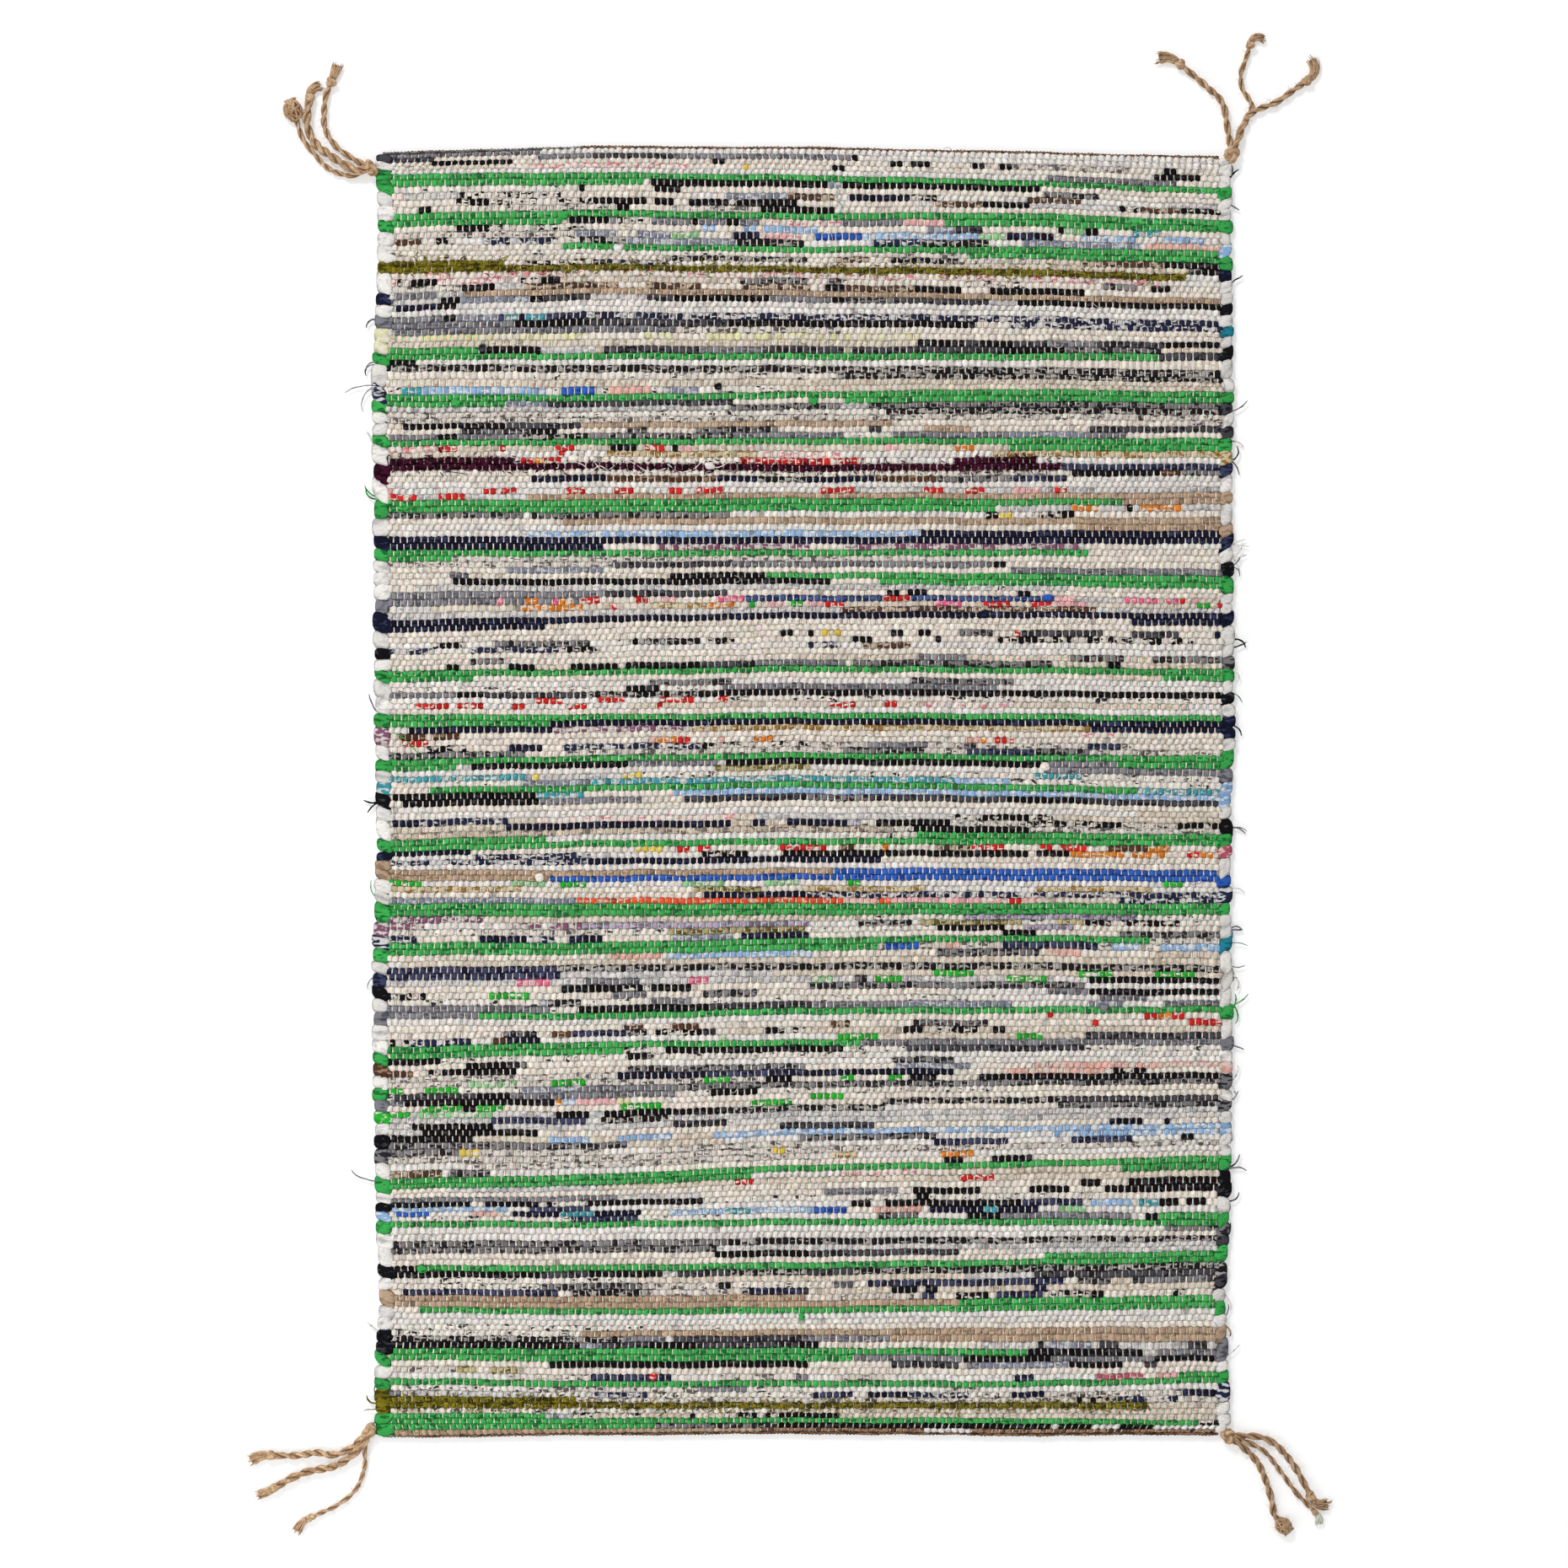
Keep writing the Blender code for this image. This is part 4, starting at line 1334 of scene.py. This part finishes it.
# Ends of rag and thread past each side: rag, row in the photograph, length in mm and how many
# degrees it leans up.
rightEnds = readChart("""
dark 213 9 20   grey 243 7 -15   black 340 10 30   grey 487 13 -20   white 525 9 10   black 545 12 -30
white 650 12 35   white 658 14 5   white 664 11 -25   grey 671 9 15   black 760 12 40   black 769 10 -10
grey 780 8 -35   white 795 9 20   green 822 8 -10   grey 983 12 25   black 1033 8 -30   white 1055 11 5
grey 1105 9 40   teal 1118 12 15   grey 1145 10 -20   white 1156 14 -5   green 1192 15 12
green 1200 12 -15   grey 1240 9 30   white 1285 12 -10   grey 1305 8 25   white 1338 10 -30
grey 1385 12 10   black 1425 10 -20   dark 1467 9 15   white 1530 13 -15   grey 1560 9 35
tan 1570 8 -10   white 1610 11 20   navy 862 9 5
""", 3)
leftEnds = readChart("""
grey 380 10 30   grey 432 11 50   grey 458 20 -4   white 525 9 20   green 590 10 5   grey 845 12 35
black 950 9 -20   green 1065 12 10   grey 1157 9 -25   grey 1400 20 -8   white 1580 10 15
olive 1655 8 30   olive 1664 9 -10   olive 1672 8 15   olive 1684 9 -35   white 1700 8 -20
""", 3)

# Long thin threads that cross the rows: rag, then places in the photograph.
crossThreads = [
    ("white", [(660, 556), (676, 548), (692, 552), (700, 560), (712, 553), (728, 562), (745, 556)]),
    ("white", [(705, 548), (716, 560), (730, 552), (738, 543), (752, 550), (770, 560), (790, 556)]),
    ("white", [(790, 549), (806, 560), (824, 556), (836, 546), (850, 555), (866, 548)]),
    ("teal", [(996, 226), (993, 236), (999, 246), (995, 255)]),
    ("green", [(470, 870), (482, 878), (492, 889), (500, 897)]),
    ("dark", [(508, 548), (520, 556), (536, 560), (556, 563)]),
    ("grey", [(1212, 676), (1240, 679), (1275, 680), (1310, 678), (1349, 680)]),
]


def fibreWay(start, angle, length, bend, points):
    # A curling way on the top of the weave.
    way = [np.array(start, dtype=float)]
    for part in range(points - 1):
        angle += bend + rng.normal(0, abs(bend) * 0.6)
        away = np.array([math.cos(angle), math.sin(angle), 0]) * length / (points - 1)
        way.append(way[-1] + away)
    way = np.array(way)
    way[:, 2] = start[2] + np.sin(np.linspace(0, math.pi, points)) * 0.35 * mm
    return way


def addPile(heap):
    # The furry rags' pile stands out over the warp.
    for name in furry:
        for pick, end in np.argwhere(cellRag[:, :warpEnds] == name):
            if not 1 <= pick <= rug["pickCount"]:
                continue
            x = cellX(pick)[end]
            y = float(pickY(pick, x))
            for fibre in range(loose["pile"]):
                start = (x + rng.normal(0, loose["pileSpread"][0]) * mm,
                         y + rng.normal(0, loose["pileSpread"][1]) * mm,
                         rng.uniform(*loose["pileHeight"]) * mm)
                angle = rng.choice([0, math.pi]) + rng.normal(0, 0.7)
                length = rng.uniform(*loose["pileLength"]) * mm
                way = fibreWay(start, angle, length, rng.normal(0, 0.4), 3)
                half = loose["pileThick"] * mm * np.array([0.8, 1.1, 0.3]) * rng.uniform(0.8, 1.4)
                heap.tube(way, half, half, 3, tag=ragTag(name, rng.uniform(*loose["pileTone"])))


def addCurls(heap):
    # Fine threads that worked loose from the cut edges of the rags.
    for curl in range(loose["curls"]):
        pick = int(rng.integers(1, rug["pickCount"] + 1))
        end = int(rng.integers(0, warpEnds))
        x = cellX(pick)[end]
        start = (x, float(pickY(pick, x)) + rng.normal(0, 1) * mm,
                 rng.uniform(*loose["curlHeight"]) * mm)
        name = str(cellRag[pick, end])
        if ragDye[name][0].mean() > 0.3 or rng.uniform() < loose["curlStrays"]:
            shares = loose["curlRags"]
            name = str(rng.choice(list(shares), p=list(shares.values())))
        way = fibreWay(start, rng.uniform(0, 2 * math.pi), rng.uniform(*loose["curlLength"]) * mm,
                       rng.choice([-1, 1]) * rng.uniform(0.2, 0.9), 7)
        half = loose["curlThick"] * mm * np.array([0.6, 1, 1, 1, 1, 0.9, 0.4])
        heap.tube(way, half, half, 3, tag=ragTag(name, loose["light"]))


def addKnots(heap):
    ball, faces = makeLump()
    for name, column, row, size in stripKnots:
        for part in range(3):
            wide = size * mm * (0.5 if part == 0 else rng.uniform(0.26, 0.36))
            angle = rng.uniform(0, 2 * math.pi)
            away = 0 if part == 0 else size * mm * 0.38
            shape = ball * (1 + 0.12 * np.sin(ball[:, [1, 2, 0]] * 4 + rng.uniform(0, 6, 3)))
            place = (fromLeft(column) + math.cos(angle) * away,
                     fromTop(row) + math.sin(angle) * away,
                     (loose["knotHeight"] - part * 0.1) * mm)
            lump = np.stack([
                place[0] + shape[:, 0] * wide * 1.15,
                place[1] + shape[:, 1] * wide,
                place[2] + shape[:, 2] * 1.9 * mm,
            ], 1)
            heap.shape(lump, faces, tag=ragTag(name, rng.uniform(0.9, 1.1)))


def addStrayEnds(heap, sign, ends):
    for name, row, length, lean in ends:
        y = fromTop(row)
        start = np.array([sign * (sideAt(y, sign) - loose["endRoot"] * mm), y, 0])
        for strand in range(1 + (length > 8) * int(rng.integers(0, 2))):
            angle = math.radians(lean) + rng.normal(0, 0.3)
            bend = rng.choice([-1, 1]) * rng.uniform(0.05, 0.30)
            root = start + np.array([0, rng.normal(0, 0.8), 0]) * mm
            way = [root]
            for part in range(8):
                angle += bend + rng.normal(0, 0.12)
                way.append(way[-1] + np.array([sign * math.cos(angle), math.sin(angle), 0])
                           * (length * rng.uniform(0.8, 1.1) + loose["endRoot"]) * mm / 8)
            way = np.array(way)
            way[:, 2] = np.linspace(*loose["endHeight"], len(way)) * mm
            thick = loose["endThick"] * mm * rng.uniform(0.6, 1.3)
            half = thick * np.array([1, 1, 1.1, 0.9, 1, 1.1, 0.9, 0.8, 0.5])
            # These lie level with the grooves, where the cloth's colour gets painted groove shade, and that
            # painted shade is taken out for them.
            heap.tube(way, half, half, 5, tag=ragTag(name, loose["endTone"] / finishAndShade["grooveShade"]))


def addCrossThreads(heap):
    for name, places in crossThreads:
        points = [(fromLeft(x), fromTop(y), loose["crossHeight"] * mm) for x, y in places]
        half = loose["crossThick"] * mm
        heap.tube(smoothWay(points, 1.8 * mm), half, half, 4, tag=ragTag(name, loose["light"]))


def makeLooseFibres(material):
    heap = Heap()
    addPile(heap)
    addCurls(heap)
    addKnots(heap)
    addStrayEnds(heap, 1, rightEnds)
    addStrayEnds(heap, -1, leftEnds)
    addCrossThreads(heap)
    thing = heap.build("loose_fibres", [material])
    dyeTags(thing, heap)
    return thing


looseFibres = makeLooseFibres(ragCloth)
rugPieces.append(looseFibres)
print("loose fibres made:", len(looseFibres.data.polygons), "faces")

# The two ends.
heading = {
    "left": -0.294,
    "right": 0.291,
    "out": 2.3,
    "height": 2.5,
    "thick": 1.25,
    "sides": 6,
    "topBrown": 690,         # the pixel from which the binding is brown
    "bottomBrown": 470,
}


def makeHeading(name, pick, outward, brownFrom, material):
    # The warp ends are turned in and bound over the last pick in small wraps.
    heap = Heap()
    x = np.linspace(heading["left"], heading["right"], 2 * warpEnds + 1)
    y = np.interp(x, rowX, rowY[pick]) + outward * heading["out"] * mm
    beads = np.arange(len(x)) % 2
    slow = np.sin(x * 47 + pick) * 0.22 + np.sin(x * 161) * 0.14
    y += outward * (beads * 0.22 + slow + rng.normal(0, 0.12, len(x))) * mm
    z = heading["height"] * mm + rng.normal(0, 0.15 * mm, len(x))
    half = heading["thick"] * mm * (0.76 + 0.24 * beads) * (1 + rng.normal(0, 0.10, len(x)))
    way = np.stack([x, y, z], 1)
    split = int(np.searchsorted(x, fromLeft(brownFrom)))
    for low, high, rag in ((0, split, "headingPale"), (split, len(x) - 1, "headingBrown")):
        if high - low > 3:
            piece = slice(low, high + 1)
            heap.tube(way[piece], half[piece], half[piece] * 1.6, heading["sides"],
                      tag=ragTag(rag))
    thing = heap.build(name, [material])
    dyeTags(thing, heap)
    return thing


topHeading = makeHeading("heading_top", 1, 1, heading["topBrown"], ragCloth)
bottomHeading = makeHeading("heading_bottom", rug["pickCount"], -1, heading["bottomBrown"], ragCloth)
rugPieces += [topHeading, bottomHeading]
print("headings made")

# Tassels.
jute = {
    "twistRun": 19.0,        # mm for one full twist of the two plies
    "step": 1.3,
    "sides": 7,
    "fibres": 22,
    "fibreThick": 0.34,
    "loose": 15,
    "hairReach": (1.2, 3.6),
    "hairThick": (0.12, 0.10, 0.04),
    "rise": 1.1,             # how far the first cord lies up at the head, and each one over it
    "riseEach": 1.3,
    "riseRun": 20.0,         # how far from the head the cords come down
    "knotHigh": 6.4,
    "ball": 12.0,            # an end knot this long is wound into a ball
    "ballHigh": 7.4,
    "ballTone": 0.86,
    "ballHairs": 14,
    "windings": 9,
    "winding": 0.95,         # half the thickness of the wound strand
    "head": (8.6, 5.2),      # height and cord of the head knot
    "headOver": (7.4, 4.6),  # and of the one that crosses over it
    # painted shade: the colour down between the plies and towards the middle of tails and balls
    "deep": (110, 74, 47),   # the colour down between the plies
    "dark": (134, 95, 62),
    "light": (234, 202, 164),
    "pale": (222, 228, 212),
    "paleTone": 3.0,
    # Each tassel's jute lighter or darker as a whole: painted light and shade for how brightly its corner
    # is lit.
    "cornerLight": (0.94, 0.87, 1.04, 0.82),
    "strands": 2600.0,
    "patches": 260.0,
}
# The cord whose tail is bleached: its tassel and its number there.
paleTail = ("tassel_bottom_right", 1)

# Each tassel replaces its node: the node, its head's place, width and length in mm. Then its
# cords: thickness, the end knot's length and width, the frayed tail's length and width, the tail's
# turn in degrees, and the way from the head.
tassels = [
    ("tassel_top_left", -302.0, 436.5, 9.0, 13.5, [
        (4.6, 7.6, 8.4, 11.0, 7.5, 0,
         [(-11, 6), (-24, 15), (-32, 27), (-33, 38), (-32, 50), (-29.5, 57)]),
        (6.4, 7.6, 7.4, 9.5, 7.0, -45,
         [(-11, -1), (-27, 8), (-39.5, 18), (-45, 32), (-43.5, 46)]),
        (4.2, 17.0, 13.5, 2.5, 9.0, 0,
         [(-14, -5), (-29.5, 0), (-39.5, 10), (-48, 21), (-52, 32.5)]),
    ]),
    ("tassel_top_right", 300.5, 446.0, 11.5, 12.5, [
        (5.0, 8.0, 8.0, 14.0, 8.5, 30,
         [(-3, 19), (-6.5, 36.5), (-17, 47.5), (-33, 61)]),
        (3.9, 6.4, 7.0, 10.0, 6.0, -62,
         [(6.5, 19), (13.5, 32), (13.5, 37), (7.5, 46.5), (6.5, 57), (10, 67), (12, 74)]),
        (4.8, 8.4, 7.4, 15.0, 7.2, 48,
         [(5.5, 13), (10.5, 25), (16.5, 31), (30.5, 36.5), (38.5, 42), (49, 49.5)]),
    ]),
    ("tassel_bottom_left", -303.5, -447.5, 9.6, 13.5, [
        (5.4, 7.6, 7.4, 13.0, 7.5, 18,
         [(-13, -12), (-25, -16.5), (-37, -15), (-51, -17), (-65, -17)]),
        (5.8, 6.6, 6.6, 11.0, 5.6, -10,
         [(-8, -13), (-23, -24), (-42, -28), (-55, -33), (-63.5, -38)]),
        (3.6, 7.5, 5.6, 12.0, 6.2, 25,
         [(-3, -13), (-3.5, -26), (-9.5, -41), (-22.5, -52), (-37.5, -59)]),
    ]),
    ("tassel_bottom_right", 297.8, -450.8, 11.0, 11.5, [
        (5.2, 8.4, 7.6, 12.0, 7.0, 45,
         [(10, 0), (23, -1), (34.5, -7), (46.5, -21.5), (56, -38.5)]),
        (3.9, 5.2, 4.8, 7.0, 5.0, -35,
         [(11, -3.5), (25.5, -11), (36.5, -24.5), (47.5, -39.5), (59.5, -52)]),
        (5.2, 13.0, 11.0, 2.0, 8.5, 0,
         [(10, -7.5), (20.5, -18.5), (26.5, -31.5), (31, -46.5), (32, -54.5), (34.5, -58)]),
    ]),
]


def addPlies(heap, way, thick, phase):
    # Two plies of jute laid round each other along a way.
    ahead, side, up = headings(way)
    run = np.concatenate([[0], np.cumsum(np.linalg.norm(np.diff(way, axis=0), axis=1))])
    angle = 2 * math.pi * run / (jute["twistRun"] * mm) + phase + 0.5 * np.sin(run * 140 + phase)
    for ply in (0, 1):
        turned = angle + ply * math.pi
        away = thick * 0.22
        centre = way + side * (np.cos(turned) * away)[:, None] + up * (np.sin(turned) * away)[:, None]
        half = thick * 0.285 * (1 + 0.06 * np.sin(run * 900 + ply * 2)
                                + 0.06 * np.sin(run * 260 + ply + phase * 3))
        heap.tube(centre, half, half, jute["sides"], turn=float(ply), axis=way, reach=thick * 0.5)


def addKnot(heap, place, ahead, long, wide, high, thick):
    # An overhand knot pulled tight: three crossing lobes of cord in one lump.
    t = np.linspace(0, 2 * math.pi, 42, endpoint=False)
    x = (np.sin(t) + 2 * np.sin(2 * t)) / 2.9
    y = (np.cos(t) - 2 * np.cos(2 * t)) / 2.9
    z = -np.sin(3 * t)
    cord = thick * 0.36
    centre = np.stack([x * (long / 2 - cord), y * (wide / 2 - cord), z * max(high / 2 - cord, 0.2 * mm)], 1)
    spin = math.atan2(ahead[1], ahead[0])
    turned = np.stack([centre[:, 0] * math.cos(spin) - centre[:, 1] * math.sin(spin),
                       centre[:, 0] * math.sin(spin) + centre[:, 1] * math.cos(spin),
                       centre[:, 2]], 1)
    way = turned + np.array([place[0], place[1], high / 2 + 0.1 * mm])
    heap.tube(way, cord, cord, 8, closed=True)


def addBall(heap, place, ahead, long, wide, high):
    # An end knot wound into a ball: a core and one strand that winds round it.
    share = np.linspace(-0.96, 0.96, 8)
    core = np.array(place) + ahead * (share * long / 2)[:, None]
    core[:, 2] = high / 2
    bulge = np.sqrt(1 - share * share) * 0.9
    heap.tube(core, bulge * wide / 2, bulge * high / 2, 9, axis=core, reach=wide * 0.75)
    t = np.linspace(0, 2 * math.pi * jute["windings"], 14 * jute["windings"])
    tilt = 0.9 + 0.65 * np.sin(t * 0.17)
    around = t * 0.31
    wound = np.stack([np.cos(t), np.sin(t) * np.cos(tilt), np.sin(t) * np.sin(tilt)], 1)
    wound *= (1 + 0.05 * np.sin(t * 3.3))[:, None]
    along = wound[:, 0] * np.cos(around) - wound[:, 1] * np.sin(around)
    across = wound[:, 0] * np.sin(around) + wound[:, 1] * np.cos(around)
    side = np.array([-ahead[1], ahead[0], 0])
    way = (core.mean(0) + ahead * (along * long * 0.44)[:, None] + side * (across * wide * 0.44)[:, None]
           + np.array([0, 0, 1.0]) * (wound[:, 2] * high * 0.42)[:, None])
    thick = jute["winding"] * mm * (1 + 0.2 * np.sin(t * 1.7))
    way[:, 2] = np.maximum(way[:, 2], 1.2 * jute["winding"] * mm)
    heap.tube(way, thick, thick, 5)
    addHairs(heap, core, wide, jute["ballHairs"])


def addTail(heap, start, ahead, length, wide, thick, turn, count):
    # The cut end past a knot: a wad of jute with fibres that lie along it.
    share = np.linspace(0, 1, 6)
    angle = math.atan2(ahead[1], ahead[0]) + math.radians(turn) * share
    middle = np.stack([start[0] + np.cos(angle) * length * share * 0.9,
                       start[1] + np.sin(angle) * length * share * 0.9,
                       (2.2 - 0.2 * share) * mm], 1)
    halfWide = thick * 0.42 + (wide / 2 - thick * 0.42) * share ** 0.8
    halfHigh = np.minimum(thick * 0.42, 2.0 * mm) * (1 - 0.15 * share)
    heap.tube(middle, halfWide * 0.86, halfHigh * 0.86, 8, axis=middle, reach=wide * 0.62)
    side = np.stack([-np.sin(angle), np.cos(angle), angle * 0], 1)
    for fibre in range(count):
        around = (math.pi + 0.6) * (fibre + rng.uniform(0, 1)) / count - 0.3
        reach = rng.uniform(0.7, 1.12)
        drift = rng.normal(0, 0.10)
        across = np.cos(around + drift * share) * halfWide * (1 + rng.normal(0.02, 0.05) * share)
        rise = np.sin(around + drift * share) * halfHigh * (1 + rng.normal(0, 0.12) * share)
        way = middle + (middle - middle[0]) * (reach / 0.9 - 1)
        way = way + side * across[:, None] + np.array([0, 0, 1.0]) * rise[:, None]
        way[:, 2] = np.maximum(way[:, 2], 0.3 * mm)
        half = jute["fibreThick"] * mm * np.array([1.1, 1.2, 1.2, 1.1, 0.95, 0.5])
        heap.tube(way, half * rng.uniform(0.75, 1.3), half, 4)


def addHairs(heap, way, thick, count):
    # Single fibres that stand off the cord.
    ahead, side, up = headings(way)
    for hair in range(count):
        at = int(rng.integers(2, len(way) - 2))
        away = rng.choice([-1, 1])
        reach = rng.uniform(*jute["hairReach"]) * mm
        root = way[at] + side[at] * away * thick * 0.4
        bend = ahead[at] * rng.uniform(-1, 1) * reach
        tip = root + side[at] * away * reach + bend
        tip[2] = max(tip[2] + rng.uniform(-1, 1) * mm, 0.2 * mm)
        middle = (root + tip) / 2 + ahead[at] * rng.normal(0, 0.5 * mm)
        half = np.array(jute["hairThick"]) * mm
        heap.tube(np.array([root, middle, tip]), half, half, 3)


def makeTassel(spec, material):
    name, headX, headY, wide, long, cords = spec
    heap = Heap()
    head = np.array([headX, headY, 0]) * mm
    toRug = -head / np.linalg.norm(head)
    for order, cord in enumerate(cords):
        *sizes, tailTurn, places = cord
        thick, knotLong, knotWide, tailLong, tailWide = np.array(sizes) * mm
        points = [head + np.array([x, y, 0]) * mm for x, y in places]
        points.insert(0, head + (points[0] - head) * 0.1)
        way = smoothWay(points, jute["step"] * mm)
        away = np.linalg.norm(way - way[0], axis=1)
        near = 1 - np.minimum(away / (jute["riseRun"] * mm), 1)
        rise = (jute["rise"] + jute["riseEach"] * order) * mm * near * near * (3 - 2 * near)
        way[:, 2] = thick * 0.53 + rise
        ahead = (way[-1] - way[-2]) / np.linalg.norm(way[-1] - way[-2])
        addPlies(heap, np.vstack([way, way[-1] + ahead * knotLong * 0.3]), thick, order)
        knot = way[-1] + ahead * knotLong * 0.5
        if knotLong < jute["ball"] * mm:
            addKnot(heap, knot, ahead, knotLong, knotWide, min(jute["knotHigh"] * mm, knotWide), thick)
        else:
            heap.tint = jute["ballTone"]
            addBall(heap, knot, ahead, knotLong, knotWide, jute["ballHigh"] * mm)
        heap.tint = jute["paleTone"] if (name, order) == paleTail else 1.0
        end = way[-1] + ahead * knotLong * 0.86
        addTail(heap, end, ahead, tailLong, tailWide, thick, tailTurn, jute["fibres"])
        heap.tint = 1.0
        addHairs(heap, way, thick, jute["loose"])
    high, thick = np.array(jute["head"]) * mm
    addKnot(heap, head, toRug, long * mm, wide * mm, high, thick)
    high, thick = np.array(jute["headOver"]) * mm
    across = (toRug[1], -toRug[0], 0)
    addKnot(heap, head + toRug * 1.2 * mm, across, wide * mm * 0.9, long * mm * 0.8, high, thick)
    tassel = heap.build("jute_" + name, [material])
    layer = tassel.data.attributes.new("flow", "FLOAT_COLOR", "POINT")
    layer.data.foreach_set("color", np.concatenate(heap.flow).astype(np.float32).ravel())
    return tassel


def makeJute(tone):
    material, tree, shader, place = newMaterial("jute", sheen=0.15, sheenColour=(1, 0.9, 0.75))
    # Every colour scaled by tone: painted light or shade for one tassel's corner.
    deep, dark, light, pale = [(*(linear(*jute[name]) * tone), 1)
                               for name in ("deep", "dark", "light", "pale")]
    flow = marked(tree, "flow", "Vector")
    out = marked(tree, "flow", "Alpha")
    strands = grain(tree, flow, jute["strands"], 2.0, 0.6)
    slow = grain(tree, place, jute["patches"], 2.0)
    share = ((slow - 0.5) * 1.2 + (strands - 0.5) * 3.2 + 0.5).held()
    colour = blend(tree, share, dark, light)
    # Painted shade: darker towards a cord's axis, down between its plies.
    colour = blend(tree, (out * 1.5 - 0.5).held(), deep, colour)
    colour = blend(tree, (out - 1.4).held(), colour, pale)
    dress(tree, shader, colour, strands * 0.25 + 0.65, 0.7, 0.5 * mm, strands)
    return material


# Each tassel gets its own copy of the jute, made lighter or darker as painted light and shade for its
# corner.
tasselPieces = [makeTassel(spec, makeJute(tone)) for spec, tone in zip(tassels, jute["cornerLight"])]
print("tassels made:", sum(len(piece.data.polygons) for piece in tasselPieces), "faces")

# Floor, light and camera.
studio = {
    "frameWidth": 1.098,
    "lens": 100.0,
    "sensor": 36.0,
    "farthest": 50.0,
    "key": ((-1.6, 3.2, 3.2), 1.0, 106.0),       # place, size and power of each light
    "fill": ((-1.2, -1.2, 1.4), 1.4, 13.5),
    "sky": 0.60,
    "floorSize": 12.0,
    "floorDrop": 0.4,        # mm
    "floorTones": (0.61, 0.64),
    "floorGlow": 0.41,       # lifts the floor to the white of the photograph's paper
}


def grey(value):
    return (value, value, value, 1)


def makeFloor():
    bpy.ops.object.select_all(action="DESELECT")
    bpy.ops.mesh.primitive_plane_add(size=studio["floorSize"], location=(0, 0, -studio["floorDrop"] * mm))
    floor = bpy.context.object
    floor.name = "floor"
    material, tree, shader, place = newMaterial("pale floor")
    cloud = grain(tree, place, 3.0, 2.0)
    colour = blend(tree, cloud, *[grey(tone) for tone in studio["floorTones"]])
    plug(tree, shader.inputs["Base Color"], colour)
    plug(tree, shader.inputs["Roughness"], cloud * 0.1 + 0.8)
    shader.inputs["Emission Color"].default_value = grey(1)
    shader.inputs["Emission Strength"].default_value = studio["floorGlow"]
    floor.data.materials.append(material)


def addLight(name, place, size, power):
    bpy.ops.object.light_add(type="AREA", location=place)
    light = bpy.context.object
    light.name = name
    light.data.shape = "DISK"
    light.data.size = size
    light.data.energy = power
    light.rotation_euler = (-Vector(place)).to_track_quat("-Z", "Y").to_euler()


def addSky():
    world = bpy.context.scene.world or bpy.data.worlds.new("studio")
    bpy.context.scene.world = world
    world.use_nodes = True
    world.node_tree.nodes["Background"].inputs["Color"].default_value = grey(1)
    world.node_tree.nodes["Background"].inputs["Strength"].default_value = studio["sky"]


def addCamera():
    halfway = photo["pixels"] / 2
    middle = Vector((fromLeft(halfway), fromTop(halfway), rug["crestHeight"] * mm / 2))
    distance = studio["frameWidth"] * studio["lens"] / studio["sensor"]
    bpy.ops.object.camera_add(location=middle + Vector((0, 0, distance)), rotation=(0, 0, 0))
    camera = bpy.context.object
    camera.data.lens = studio["lens"]
    camera.data.sensor_width = studio["sensor"]
    camera.data.clip_end = studio["farthest"]
    bpy.context.scene.camera = camera


makeFloor()
addLight("key", *studio["key"])
addLight("fill", *studio["fill"])
addSky()
bpy.context.scene.view_settings.view_transform = "Standard"
addCamera()
print("studio made")

# The frame's table.
for piece in [warpSheet, *rugPieces]:
    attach(piece, "root")
    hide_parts("rug")
for piece, spec in zip(tasselPieces, tassels):
    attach(piece, "root")
    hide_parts(spec[0])

bpy.context.view_layer.update()
print("triangles:", sum(len(face.vertices) - 2 for piece in [warpSheet, *rugPieces, *tasselPieces]
                        for face in piece.data.polygons))
